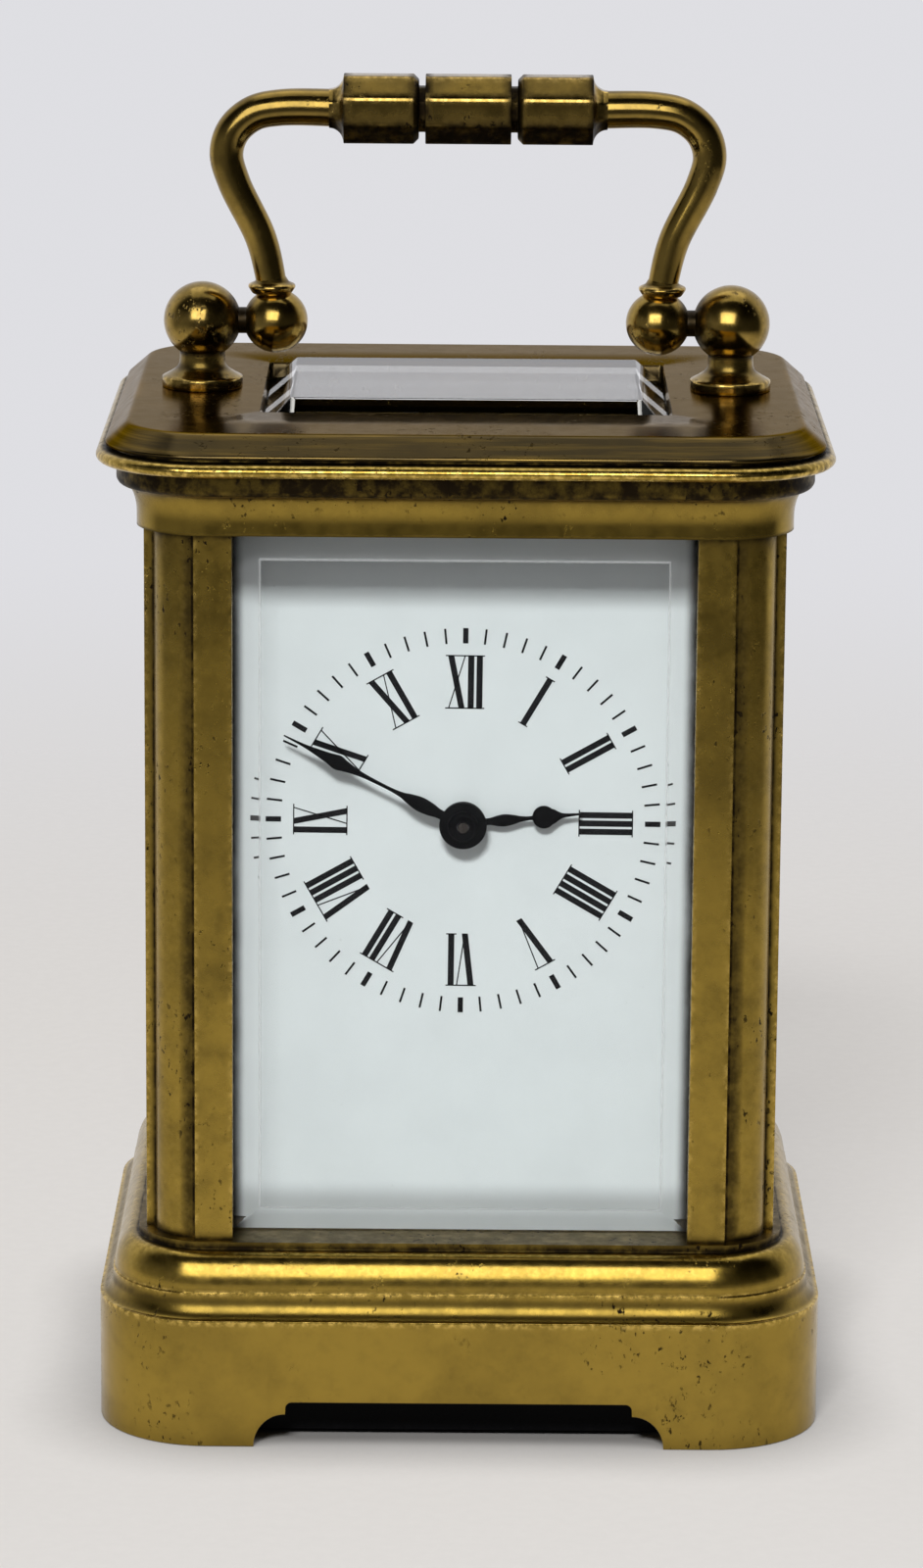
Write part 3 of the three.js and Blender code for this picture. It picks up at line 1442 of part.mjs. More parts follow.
function doorPin(seatZ, side) {
  const pin = turnedZ(rodProfile(doorPinRadius, -doorPinReach, doorEndGap + doorPinReach), holeSteps);
  return join(side > 0 ? pin : pin.rotateX(Math.PI)).translate(doorPinX, doorPinY, seatZ);
}

// The finishes, and the clock put together

const finishes = {
  brass: { color: 0xa9884a, roughness: 0.35, metalness: 1 },
  dullBrass: { color: 0x8d7446, roughness: 0.5, metalness: 1 },
  steel: { color: 0x9a9da0, roughness: 0.35, metalness: 1 },
  blackSteel: { color: 0x101012, roughness: 0.45, metalness: 0.6 },
  enamel: { color: 0xeef0f2, roughness: 0.2, metalness: 0 },
  glass: { color: 0xdde6ea, roughness: 0.05, metalness: 0, transparent: true, opacity: 0.35 },
};

const clock = new THREE.Group();
clock.name = 'carriage_clock';

function place(name, geometry, finish, x = 0, y = 0, z = 0) {
  const mesh = new THREE.Mesh(geometry, new THREE.MeshStandardMaterial(finishes[finish]));
  mesh.name = name;
  mesh.position.set(x, y, z);
  clock.add(mesh);
}

// Pieces whose axis runs from front to back are put at their arbor's place in XZ
function placeOnArbor(name, geometry, finish, [x, z], y = 0) {
  place(name, geometry, finish, x, y, z);
}

place('base_plinth', basePlinth(), 'brass');
place('base_lining', baseLining(), 'blackSteel');
const cornerNames = [
  ['front_left', -1, -1],
  ['front_right', 1, -1],
  ['rear_left', -1, 1],
  ['rear_right', 1, 1],
];
cornerNames.forEach(([corner, sideX, sideY], i) => {
  const [x, y] = pillarScrewPlaces()[i];
  place(`pillar_${corner}`, pillar(sideX, sideY), 'brass');
  place(`base_screw_${corner}`, screwUp(baseDeckThickness + screwBite), 'steel', x, y, deckUnderside);
});
place('cornice', cornice(), 'brass');
place('top_cap', topCap(), 'dullBrass');

const paneMiddle = (baseHeight + pillarTop) / 2;
const paneFromOutside = grooveLip + seatGap + glassThickness;
const frontPaneWidth = 2 * (halfWidth - grooveBottom - seatGap);
const sidePaneWidth = 2 * (halfDepth - grooveBottom - seatGap);
const heldInGroove = stripEnd - grooveBottom - seatGap;
const frontwards = axisY.clone().negate();
const leftwards = axisX.clone().negate();
place('front_glass', wallPane(frontPaneWidth, axisX, frontwards, heldInGroove), 'glass',
  0, -halfDepth + paneFromOutside, paneMiddle);
place('left_glass', wallPane(sidePaneWidth, frontwards, leftwards, heldInGroove), 'glass',
  -halfWidth + paneFromOutside, 0, paneMiddle);
place('right_glass', wallPane(sidePaneWidth, axisY, axisX, heldInGroove), 'glass',
  halfWidth - paneFromOutside, 0, paneMiddle);
place('top_glass', topGlass(), 'glass', 0, 0, corniceTop - topGlassFlange - seatGap);

place('handle_bail', handleBail(), 'brass', 0, 0, handleAxis);
[['left', -1], ['right', 1]].forEach(([hand, side]) => {
  place(`handle_post_${hand}`, handlePost(side), 'brass', 0, 0, handleAxis);
  place(`handle_pin_${hand}`, handlePin(side), 'steel', 0, 0, handleAxis);
});

place('door_frame', doorFrame(), 'brass');
place('door_glass', doorGlass(), 'glass', 0, doorInside, paneMiddle);
place('door_knob', doorKnob(), 'brass', doorKnobX, doorOutside, doorKnobZ);
place('door_pin_bottom', doorPin(baseHeight, 1), 'steel');
place('door_pin_top', doorPin(pillarTop, -1), 'steel');

placeOnArbor('dial_plate', dialPlate(), 'enamel', centrePlace, dialFront);
placeOnArbor('hour_hand', hourHand(), 'blackSteel', centrePlace, hourHandFront);
placeOnArbor('minute_hand', minuteHand(), 'blackSteel', centrePlace, minuteHandFront);
placeOnArbor('hand_collet', handCollet(), 'blackSteel', centrePlace, minuteHandFront);

place('front_plate', frontPlate(), 'brass');
place('back_plate', backPlate(), 'brass');
const framePillarNames = ['low_left', 'low_right', 'high_left', 'high_right'];
framePillarPlaces().forEach((at, i) => {
  placeOnArbor(`movement_pillar_${framePillarNames[i]}`, framePillar(i < 2), 'brass', at);
});
frameScrewPlaces().forEach(([x, y], i) => {
  const reach = baseDeckThickness + framePillarLow;
  place(`movement_screw_${['left', 'right'][i]}`, screwUp(reach), 'steel', x, y, deckUnderside);
});

placeOnArbor('barrel_drum', barrelDrum(), 'brass', barrelPlace, barrelStart);
placeOnArbor('barrel_cover', barrelCover(), 'brass', barrelPlace, barrelStart);
placeOnArbor('barrel_arbor', barrelArbor(), 'steel', barrelPlace);
placeOnArbor('mainspring', mainspring(), 'steel', barrelPlace);
placeOnArbor('ratchet_wheel', ratchetWheel(), 'steel', barrelPlace);
placeOnArbor('click', click(), 'steel', clickPlace);
placeOnArbor('click_spring', clickSpring(), 'steel', clickSpringPlace);
placeOnArbor('intermediate_wheel', intermediateWheel(), 'brass', intermediatePlace);
placeOnArbor('centre_wheel', centreWheel(), 'brass', centrePlace);
placeOnArbor('centre_arbor', centreArbor(), 'steel', centrePlace);
placeOnArbor('third_wheel', thirdWheel(), 'brass', thirdPlace);
placeOnArbor('contrate_wheel', contrateWheel(), 'brass', contratePlace);
placeOnArbor('cannon_pinion', cannonPinion(), 'steel', centrePlace);
placeOnArbor('minute_wheel', minuteWheel(), 'brass', minuteWheelPlace);
placeOnArbor('hour_wheel', hourWheel(), 'brass', centrePlace);

place('platform_plate', platformPlate(), 'brass');
place('escape_wheel', escapeWheel(), 'brass', ...escapePlace);
place('pallet_lever', palletLever(), 'steel', ...leverPlace);
place('balance_wheel', balanceWheel(), 'brass', ...balancePlace);
place('balance_cock', balanceCock(), 'brass', ...balancePlace);
place('hairspring', hairspring(), 'steel', ...balancePlace);

export default clock;
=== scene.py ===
"""A miniature carriage clock in Blender: the looks of its pieces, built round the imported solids.

Shapes are worked out in millimetres, with X to the right of the dial, Y to the back and Z up.
"""

import json
from math import cos, pi, radians, sin
from types import SimpleNamespace

import bmesh
import bpy
import numpy as np
from bpy.props import FloatProperty, FloatVectorProperty, PointerProperty
from mathutils import Matrix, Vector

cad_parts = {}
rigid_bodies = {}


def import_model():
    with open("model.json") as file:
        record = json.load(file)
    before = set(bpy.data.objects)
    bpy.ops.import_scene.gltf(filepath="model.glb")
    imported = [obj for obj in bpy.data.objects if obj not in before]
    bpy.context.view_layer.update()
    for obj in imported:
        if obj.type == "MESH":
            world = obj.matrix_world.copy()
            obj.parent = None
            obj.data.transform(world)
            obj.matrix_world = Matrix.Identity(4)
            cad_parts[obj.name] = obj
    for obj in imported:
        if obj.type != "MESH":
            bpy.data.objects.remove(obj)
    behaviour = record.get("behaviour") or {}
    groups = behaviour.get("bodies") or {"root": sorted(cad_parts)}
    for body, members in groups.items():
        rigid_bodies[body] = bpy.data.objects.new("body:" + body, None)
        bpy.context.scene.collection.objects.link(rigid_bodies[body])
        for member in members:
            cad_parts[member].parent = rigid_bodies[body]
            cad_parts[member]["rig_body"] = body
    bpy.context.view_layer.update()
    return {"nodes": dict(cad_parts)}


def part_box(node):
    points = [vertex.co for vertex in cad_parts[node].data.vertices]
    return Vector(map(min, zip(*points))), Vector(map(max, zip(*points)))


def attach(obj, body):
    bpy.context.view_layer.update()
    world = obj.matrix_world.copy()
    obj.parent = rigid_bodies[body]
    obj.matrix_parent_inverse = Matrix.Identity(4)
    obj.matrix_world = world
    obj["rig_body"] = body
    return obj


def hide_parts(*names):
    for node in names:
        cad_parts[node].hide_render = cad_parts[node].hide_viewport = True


bl_info = {
    "name": "Miniature carriage clock",
    "version": (1, 0, 0),
    "blender": (4, 5, 0),
    "location": "View3D > Sidebar > Carriage clock",
    "description": "Builds a glazed brass carriage clock round its packed solids",
    "category": "Add Mesh",
}

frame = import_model()

MM = 0.001
SIDES = ((-1, "left"), (1, "right"))
pillar_low, pillar_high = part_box("pillar_front_left")
dial_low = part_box("dial_plate")[0]

# A turned profile ends at this radius, and a fan closes it
tip = 0.02


# Sizes and colours that a user may change

def length(name, description, millimetres):
    """A length property, given in millimetres and kept in metres."""
    return FloatProperty(
        name=name, description=description, default=millimetres * MM, unit="LENGTH", precision=5)


def tint(name, description, colour):
    """A colour property in linear values."""
    return FloatVectorProperty(
        name=name, description=description, default=colour, subtype="COLOR", min=0, max=1)


class CaseSizes(bpy.types.PropertyGroup):
    """Sizes of the case: overhangs are beyond the outer planes of the pillars"""

    half_width: length("Half width", "From the middle to the pillars' outer planes", -pillar_low.x / MM)
    half_depth: length("Half depth", "From the middle to the pillars' outer planes", -pillar_low.y / MM)
    corner_radius: length("Corner radius", "Of the case's plan at the pillars' outer planes", 4.85)
    pillar_foot: length("Pillar foot", "Height of the base's top", pillar_low.z / MM)
    pillar_top: length("Pillar top", "Height of the cornice's underside", pillar_high.z / MM)
    edge_round: length("Edge rounding", "Of worn edges on the brass", 0.1)
    base_overhang: length("Base overhang", "Of the base's wall", 3.62)
    base_wall: length("Base wall height", "From the floor to the cove", 9.9)
    front_feet: length("Front foot gap", "Between the front feet, at the floor", 31.0)
    side_feet: length("Side foot gap", "Between the side feet, at the floor", 24.0)
    window_half_width: length("Top window half width", "Of the opening in the cap", 15.4)
    window_half_depth: length("Top window half depth", "Of the opening in the cap", 11.8)


class HandleSizes(bpy.types.PropertyGroup):
    """Sizes of the handle"""

    axis_height: length("Pivot height", "Of the handle's pivots above the floor", 82.25)
    post_place: length("Post place", "Of each post's axis from the middle", 20.2)
    post_ball: length("Post ball radius", "Of the ball on each post", 2.95)
    bail_place: length("Bail ball place", "Of each of the bail's balls from the middle", 14.6)
    bail_ball: length("Bail ball radius", "Of the balls at the bail's ends", 2.45)
    rise: length("Rise", "Of the grip's axis above the pivots", 16.25)
    grip_flats: length("Grip across flats", "Of the eight-sided grip", 5.15)


class DialSizes(bpy.types.PropertyGroup):
    """Sizes of the dial's printing and the hands"""

    front: length("Dial front", "Of the enamel from the middle of the case", dial_low.y / MM)
    centre_height: length("Dial centre", "Height of the hands' axis", 46.6)
    numeral_foot: length("Numeral foot", "Radius of the numerals' feet", 8.7)
    numeral_height: length("Numeral height", "From foot to head", 4.1)
    stroke: length("Thick stroke", "Width of the numerals' thick strokes", 0.46)
    hairline: length("Thin stroke", "Width of the numerals' thin strokes and serifs", 0.09)
    mark_inner: length("Minute marks from", "Radius of their inner ends", 13.7)
    mark_outer: length("Minute marks to", "Radius of their outer ends", 14.87)
    mark_width: length("Minute mark width", "Of the thin marks", 0.16)
    five_width: length("Five-minute mark width", "Of the bars at the hours", 0.4)
    minute_length: length("Minute hand", "From the axis to the tip", 15.1)
    hour_length: length("Hour hand", "From the axis to the tip", 8.9)


class Colours(bpy.types.PropertyGroup):
    """Colours of the finishes"""

    brass: tint("Brass", "Of clean brass on the case", (0.365, 0.245, 0.044))
    tarnish: tint("Tarnish", "Of the brass where it has dulled", (0.197, 0.134, 0.027))
    cap: tint("Cap", "Of the dull brass of the cap", (0.08, 0.06, 0.029))
    gilt: tint("Gilt brass", "Of the movement", (0.38, 0.265, 0.09))
    # This colour darkens pits and dirty hollows, and is also painted shade: in corners, under overhangs,
    # along the dial's foot and at the front glass's upright edges.
    grime: tint("Grime", "Of the dirt in corners and pits", (0.018, 0.012, 0.006))
    steel: tint("Steel", "Of arbors, pinions and screws", (0.42, 0.42, 0.43))
    black: tint("Black steel", "Of the hands", (0.004, 0.004, 0.0045))
    enamel: tint("Enamel", "Of the dial", (0.80, 0.835, 0.85))
    print_black: tint("Numerals", "Of the dial's printing", (0.004, 0.004, 0.005))
    floor: tint("Floor", "Of the paper that the clock stands on", (0.27, 0.262, 0.254))
    backdrop: tint("Backdrop", "Of the background", (0.735, 0.735, 0.765))


def in_mm(group):
    """The lengths of a property group by name, in millimetres."""
    return SimpleNamespace(**{name: getattr(group, name) / MM for name in type(group).__annotations__})


# Lines: arrays of points in a plane

def arc(centre, radii, start, stop, steps):
    """Points centre + (rx cos t, ry sin t) of an ellipse, for t in degrees from start to stop."""
    turn = np.radians(np.linspace(start, stop, steps + 1))
    return np.stack([centre[0] + radii[0] * np.cos(turn), centre[1] + radii[1] * np.sin(turn)], 1)


def rounded(line, radius, closed=False, steps=3):
    """A line with its corners rounded: corner p becomes the parabola (1-s)^2 a + 2 s (1-s) p + s^2 b.

    The points a and b lie on its two sides, at the radius or at 0.45 of a shorter side.
    """
    line = np.asarray(line, float)
    back = np.roll(line, 1, 0) - line
    ahead = np.roll(line, -1, 0) - line
    back_length = np.linalg.norm(back, axis=1, keepdims=True)
    ahead_length = np.linalg.norm(ahead, axis=1, keepdims=True)
    cut = np.minimum(radius, 0.45 * np.minimum(back_length, ahead_length))
    a = (line + back / back_length * cut)[:, None]
    b = (line + ahead / ahead_length * cut)[:, None]
    s = np.linspace(0, 1, steps)[None, :, None]
    curve = (1 - s) ** 2 * a + 2 * s * (1 - s) * line[:, None] + s ** 2 * b
    if closed:
        return curve.reshape(-1, line.shape[1])
    return np.concatenate([line[:1], curve[1:-1].reshape(-1, line.shape[1]), line[-1:]])


def denser(line, step, closed=False):
    """The same line with extra points, so that none is further than step from the next."""
    line = np.concatenate([line, line[:1]]) if closed else np.asarray(line, float)
    along = np.concatenate([[0], np.cumsum(np.linalg.norm(np.diff(line, axis=0), axis=1))])
    places = np.unique(np.round(np.concatenate([along, np.arange(0, along[-1], step)]), 5))
    places = places[np.concatenate([[True], np.diff(places) > 1e-4])]
    places = places[:-1] if closed else places
    return np.stack([np.interp(places, along, line[:, k]) for k in range(line.shape[1])], 1)


def smooth_line(points, steps):
    """A curve through points: cubics whose slope at a point is the weighted mean of those beside it."""
    points = np.asarray(points, float)
    at = np.concatenate([[0], np.cumsum(np.linalg.norm(np.diff(points, axis=0), axis=1) ** 0.5)])
    slope = np.gradient(points, at, axis=0)
    place = np.linspace(0, at[-1], steps)
    i = np.clip(np.searchsorted(at, place, side="right") - 1, 0, len(at) - 2)
    width = (at[i + 1] - at[i])[:, None]
    s = (place - at[i])[:, None] / width
    return (
        (2 * s ** 3 - 3 * s ** 2 + 1) * points[i] + (s ** 3 - 2 * s ** 2 + s) * width * slope[i]
        + (3 * s ** 2 - 2 * s ** 3) * points[i + 1] + (s ** 3 - s ** 2) * width * slope[i + 1]
    )


# Marks: shares from 0 to 1 at the points of a line or a skin, of darkening (dirty hollows and painted shade)
# and paleness (worn edges and painted glints)

def corner_marks(line, reach=0.28, closed=False):
    """Darker hollow corners, as dirty hollows and painted shade, and paler sharp ones, as worn edges and
    painted glints.

    Each is the turn of the line near a point: the sum of the turns at all points, times
    exp(-(distance / reach)^2).
    """
    line = np.asarray(line, float)
    ahead = np.roll(line, -1, 0) - line
    back = line - np.roll(line, 1, 0)
    turn = np.arctan2(back[:, 0] * ahead[:, 1] - back[:, 1] * ahead[:, 0], (back * ahead).sum(1))
    if closed:
        area = (line[:, 0] * np.roll(line[:, 1], -1) - line[:, 1] * np.roll(line[:, 0], -1)).sum()
        turn = turn * np.sign(area)
    else:
        turn[[0, -1]] = 0
    apart = np.linalg.norm(line[:, None] - line[None], axis=2)
    near = (turn[None] * np.exp(-(apart / reach) ** 2)).sum(1)
    return {"grime": np.clip(-near, 0, 1), "wear": np.clip(near, 0, 1)}


def rising(values, start, width, most=1):
    """A mark that rises from 0 at a start to 1 over a width, and is held at the most.

    A width below 0 makes it fall.
    """
    return np.clip((values - start) / width, 0, most)


def close_to(values, place, reach):
    """A mark round a place: exp(-(distance / reach)^2)."""
    return np.exp(-((values - place) / reach) ** 2)


def add_mark(marks, name, *values):
    """Raises a mark to other values where they are higher."""
    for value in values:
        marks[name] = np.maximum(marks[name], value)


# Surfaces: grids of points [row, column], with the columns closed into rings

def skin(grid, marks=None, loop=False, flat_ends=False):
    """Quads over a grid. A loop joins its last row to its first; else a fan or a face closes each end."""
    rows, columns = grid.shape[:2]
    index = np.arange(rows * columns).reshape(rows, columns)
    here = index if loop else index[:-1]
    above = np.roll(index, -1, 0) if loop else index[1:]
    quads = np.stack([here, np.roll(here, -1, 1), np.roll(above, -1, 1), above], -1)
    made = SimpleNamespace(points=grid.reshape(-1, 3), faces=quads.reshape(-1, 4).tolist(), marks={})
    fans = 0 if loop or flat_ends else 2
    for name, values in (marks or {}).items():
        values = np.asarray(values, float)
        values = values if values.ndim == 2 else values[:, None]
        spread = np.broadcast_to(values, (rows, columns)).reshape(-1)
        made.marks[name] = np.concatenate([spread, np.zeros(fans)])
    if flat_ends:
        made.faces += [index[0, ::-1].tolist(), index[-1].tolist()]
    if fans:
        made.points = np.concatenate([made.points, grid[[0, -1]].mean(1)])
        low = np.full(columns, rows * columns)
        made.faces += np.stack([np.roll(index[0], -1), index[0], low], -1).tolist()
        made.faces += np.stack([index[-1], np.roll(index[-1], -1), low + 1], -1).tolist()
    return made


def together(*skins):
    """Several skins as one."""
    starts = np.cumsum([0] + [len(part.points) for part in skins])
    names = {name for part in skins for name in part.marks}
    return SimpleNamespace(
        points=np.concatenate([part.points for part in skins]),
        faces=[[int(start) + i for i in face] for part, start in zip(skins, starts) for face in part.faces],
        marks={
            name: np.concatenate([part.marks.get(name, np.zeros(len(part.points))) for part in skins])
            for name in names
        },
    )


def turned(profile, centre, axis="z", steps=64, loop=False):
    """A profile of (radius, height) turned about an axis: centre + radius (cos t, sin t) + height."""
    profile = np.asarray(profile, float)
    turn = np.linspace(0, 2 * pi, steps, endpoint=False)
    radius, height = profile[:, :1], np.repeat(profile[:, 1:], steps, 1)
    a, b = radius * np.cos(turn), radius * np.sin(turn)
    order = {"z": (a, b, height), "y": (b, height, a), "x": (height, a, b)}[axis]
    return skin(np.stack(order, -1) + np.asarray(centre, float), corner_marks(profile), loop)


# Pieces

def linked(name, data):
    """A new object in the scene."""
    made = bpy.data.objects.new(name, data)
    bpy.context.scene.collection.objects.link(made)
    return made


def piece_of(mesh, name, look, smooth):
    """A mesh as an object with a finish, smooth up to an angle in degrees."""
    mesh.polygons.foreach_set("use_smooth", np.ones(len(mesh.polygons), bool))
    mesh.set_sharp_from_angle(angle=radians(smooth))
    mesh.materials.clear()
    mesh.materials.append(look)
    return linked(name, mesh)


def put(name, made, body, look, stands_for=(), smooth=32):
    """A skin as a piece: its mesh in metres, faces outwards, riding on a body in the place of its solids."""
    mesh = bpy.data.meshes.new(name)
    mesh.from_pydata((made.points * MM).tolist(), [], made.faces)
    for mark, values in made.marks.items():
        mesh.attributes.new(mark, "FLOAT", "POINT").data.foreach_set("value", values.astype(np.float32))
    work = bmesh.new()
    work.from_mesh(mesh)
    bmesh.ops.recalc_face_normals(work, faces=work.faces)
    work.to_mesh(mesh)
    work.free()
    piece = piece_of(mesh, name, look, smooth)
    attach(piece, body)
    if stands_for:
        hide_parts(*stands_for)


def softened(node, look, edge=0.06, smooth=40):
    """A copy of a solid with its doubles merged and its edges rounded off, in the solid's place."""
    source = frame["nodes"][node]
    mesh = source.data.copy()
    work = bmesh.new()
    work.from_mesh(mesh)
    bmesh.ops.remove_doubles(work, verts=work.verts, dist=1e-6)
    bmesh.ops.dissolve_limit(work, angle_limit=radians(2), verts=work.verts, edges=work.edges)
    work.to_mesh(mesh)
    work.free()
    piece = piece_of(mesh, node + "_finished", look, smooth)
    bevel = piece.modifiers.new("rounded edges", "BEVEL")
    bevel.width = edge * MM
    bevel.segments = 2
    bevel.limit_method = "ANGLE"
    bevel.angle_limit = radians(smooth)
    bevel.harden_normals = True
    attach(piece, source["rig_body"])
    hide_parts(node)


def dress(node, look):
    """A finish on a solid that stays as it is."""
    materials = frame["nodes"][node].data.materials
    materials.clear()
    materials.append(look)


# Finishes

class Nodes:
    """A node tree and short ways to add to it."""

    def __init__(self, tree):
        self.tree = tree

    def add(self, kind, inputs=(), **settings):
        """A node with its settings, and its inputs linked or set by name or number."""
        node = self.tree.nodes.new("ShaderNode" + kind)
        for name, value in settings.items():
            setattr(node, name, value)
        for name, value in dict(inputs).items():
            self.join(value, node.inputs[name])
        return node

    def join(self, value, socket):
        """A link where the value is another node's output, else the value itself."""
        if isinstance(value, bpy.types.NodeSocket):
            self.tree.links.new(value, socket)
        elif hasattr(value, "__len__") and len(value) == 3 and socket.type == "RGBA":
            socket.default_value = (*value, 1)
        else:
            socket.default_value = value

    def calc(self, a, operation, b):
        """Two values added, multiplied or the like; a sum is held between 0 and 1."""
        return self.add("Math", {0: a, 1: b}, operation=operation, use_clamp=operation == "ADD").outputs[0]

    def between(self, value, low, high, to_low=0.0, to_high=1.0, ease="SMOOTHSTEP"):
        """A value stretched so that low becomes to_low and high becomes to_high, and held there."""
        inputs = {"Value": value, 1: low, 2: high, 3: to_low, 4: to_high}
        return self.add("MapRange", inputs, interpolation_type=ease).outputs[0]

    def mixed(self, share, first, second):
        """The first shader where the share is 0, the second where it is 1."""
        return self.add("MixShader", {0: share, 1: first, 2: second}).outputs[0]

    def split(self, place):
        """A place's X, Y and Z."""
        return self.add("SeparateXYZ", {0: place}).outputs


class Finish(Nodes):
    """A principled material and the nodes that feed it. Sizes of grain are in millimetres."""

    def __init__(self, name, **sockets):
        self.material = bpy.data.materials.new(name)
        self.material.use_nodes = True
        super().__init__(self.material.node_tree)
        self.shader = self.tree.nodes["Principled BSDF"]
        for socket, value in sockets.items():
            self.feed(socket.replace("_", " ").title().replace("Ior", "IOR"), value)
        self.place = self.add("TexCoord").outputs["Object"]

    def feed(self, socket, value):
        """A link or a value for one of the material's own sockets."""
        self.join(value, self.shader.inputs[socket])

    def grain(self, size, detail=4, rough=0.55, stretch=(1, 1, 1), seed=0):
        """Noise with grains of a size, drawn out along X, Y and Z."""
        scale = tuple(1 / (size * MM * k) for k in stretch)
        shift = (seed * 3.7, seed * 1.9, seed * 2.3)
        place = self.add("Mapping", {"Vector": self.place, "Scale": scale, "Location": shift}).outputs[0]
        inputs = {"Vector": place, "Scale": 1, "Detail": detail, "Roughness": rough}
        return self.add("TexNoise", inputs).outputs[0]

    def mark(self, name):
        """One of the piece's own marks."""
        return self.add("Attribute", attribute_name=name).outputs["Fac"]

    def blend(self, share, first, second):
        """The first colour where the share is 0, the second where it is 1."""
        return self.add("Mix", data_type="RGBA", inputs={0: share, 6: first, 7: second}).outputs[2]

    def relief(self, height, depth, below=None):
        """Bumps of a depth in millimetres, on top of others."""
        inputs = {"Height": height, "Distance": depth * MM, "Strength": 1.0}
        if below is not None:
            inputs["Normal"] = below
        return self.add("Bump", inputs).outputs[0]


def aged_brass(
        name, clean, dull, grime, roughness=0.2, dulling=0.35, pits=0.9, scratches=0.0012, seed=0,
        rim=(1, 1, 1), worn=None, streak=(1, 1, 1)):
    """Brass: cloudy tarnish, pits in patches, corners dirty and darkened by painted shade, worn edges with
    painted glints, fine scratches.
    """
    made = Finish(name, metallic=1.0, specular_tint=rim)
    clouds = made.grain(7, 5, 0.62, seed=seed)
    mottle = made.grain(1.3, 6, 0.62, seed=seed + 1)
    share = made.calc(made.between(clouds, 0.38, 0.7), "MULTIPLY", dulling * 1.4)
    share = made.calc(share, "ADD", made.between(mottle, 0.45, 0.8, 0, dulling * 0.7))
    colour = made.blend(share, clean, dull)
    patches = made.between(made.grain(7.5, 3, seed=seed + 2), 0.48, 0.62)
    specks = made.between(made.grain(0.42, 3, 0.6, (1, 1, 1.6), seed + 3), 0.6, 0.68)
    spots = made.calc(made.calc(specks, "MULTIPLY", patches), "MULTIPLY", pits)
    # The mark read here is partly dirty hollows and partly painted shade: in corners, under overhangs,
    # between parts and on undersides.
    darkening = made.calc(made.mark("grime"), "MULTIPLY", made.between(mottle, 0.25, 0.6, 0.6, 1.0))
    dark = made.calc(spots, "ADD", darkening)
    colour = made.blend(dark, colour, grime)
    # Edges with the worn mark get a paler colour in noisy glints. This is partly worn metal and partly
    # painted glints, since the default worn colour is far paler than clean brass.
    glints = made.between(made.grain(0.5, 3, 0.6, streak, seed + 6), 0.4, 0.68)
    bright = made.calc(made.mark("wear"), "MULTIPLY", glints)
    worn = worn or tuple(min(1, 1.9 * part + 0.05) for part in clean)
    made.feed("Base Color", made.blend(bright, colour, worn))
    rough = made.between(mottle, 0.25, 0.75, roughness * 0.8, roughness * 1.3)
    made.feed("Roughness", made.calc(rough, "ADD", made.calc(dark, "MULTIPLY", 0.3)))
    across = made.grain(0.16, 2, 0.7, (1, 9, 30), seed + 4)
    along = made.grain(0.2, 2, 0.7, (26, 8, 1), seed + 5)
    bumps = made.relief(made.calc(across, "ADD", along), scratches)
    bumps = made.relief(mottle, 0.0025, bumps)
    made.feed("Normal", made.relief(made.calc(spots, "MULTIPLY", -1.0), 0.02, bumps))
    return made.material


def turned_steel(name, colour, grime, roughness=0.3):
    """Steel with fine turning lines and a few dull spots."""
    made = Finish(name, metallic=1.0)
    stains = made.between(made.grain(1.8, 5, 0.6), 0.5, 0.75)
    made.feed("Base Color", made.blend(made.calc(stains, "MULTIPLY", 0.6), colour, grime))
    lines = made.grain(0.09, 3, 0.6, (1, 1, 14))
    made.feed("Roughness", made.between(lines, 0.3, 0.7, roughness * 0.8, roughness * 1.4))
    made.feed("Normal", made.relief(lines, 0.002))
    return made.material


def black_steel(name, colour, bloom_colour=(0.009, 0.009, 0.01)):
    """Blackened steel, glossy with a faint grey bloom."""
    made = Finish(name, metallic=0.0, specular_ior_level=0.04)
    bloom = made.grain(0.8, 5, 0.6)
    made.feed("Base Color", made.blend(made.between(bloom, 0.5, 0.8, 0, 0.4), colour, bloom_colour))
    made.feed("Roughness", made.between(bloom, 0.3, 0.7, 0.22, 0.4))
    made.feed("Normal", made.relief(made.grain(0.12, 2), 0.0015))
    return made.material


def dial_enamel(
        name, colour, grime, low, shaded_to=1.2 * MM, unshaded_from=3.2 * MM, speck=(0.35, 0.34, 0.31)):
    """White enamel: glossy, faintly clouded, with a very slight orange-peel and painted shade along its foot.
    """
    made = Finish(name, specular_ior_level=0.5, coat_weight=0.25, coat_roughness=0.06)
    clouds = made.grain(7, 4)
    specks = made.between(made.grain(0.3, 2, seed=4), 0.73, 0.78)
    pale = made.blend(made.between(clouds, 0.35, 0.7), colour, tuple(0.965 * part for part in colour))
    pale = made.blend(made.calc(specks, "MULTIPLY", 0.25), pale, speck)
    # Painted shade: darker towards the dial's foot, just above the base.
    foot = made.between(made.split(made.place)["Z"], low + shaded_to, low + unshaded_from, 0.4, 0.0)
    made.feed("Base Color", made.blend(foot, pale, grime))
    made.feed("Roughness", made.between(clouds, 0.3, 0.7, 0.16, 0.26))
    made.feed("Normal", made.relief(made.grain(1.6, 2), 0.003))
    return made.material


def dial_print(name, colour, thin_colour=(0.014, 0.014, 0.016)):
    """Black enamel paint, slightly uneven."""
    made = Finish(name, specular_ior_level=0.15)
    uneven = made.grain(0.35, 3)
    made.feed("Base Color", made.blend(made.between(uneven, 0.45, 0.8, 0, 0.5), colour, thin_colour))
    made.feed("Roughness", made.between(uneven, 0.3, 0.7, 0.3, 0.45))
    made.feed("Normal", made.relief(uneven, 0.004))
    return made.material


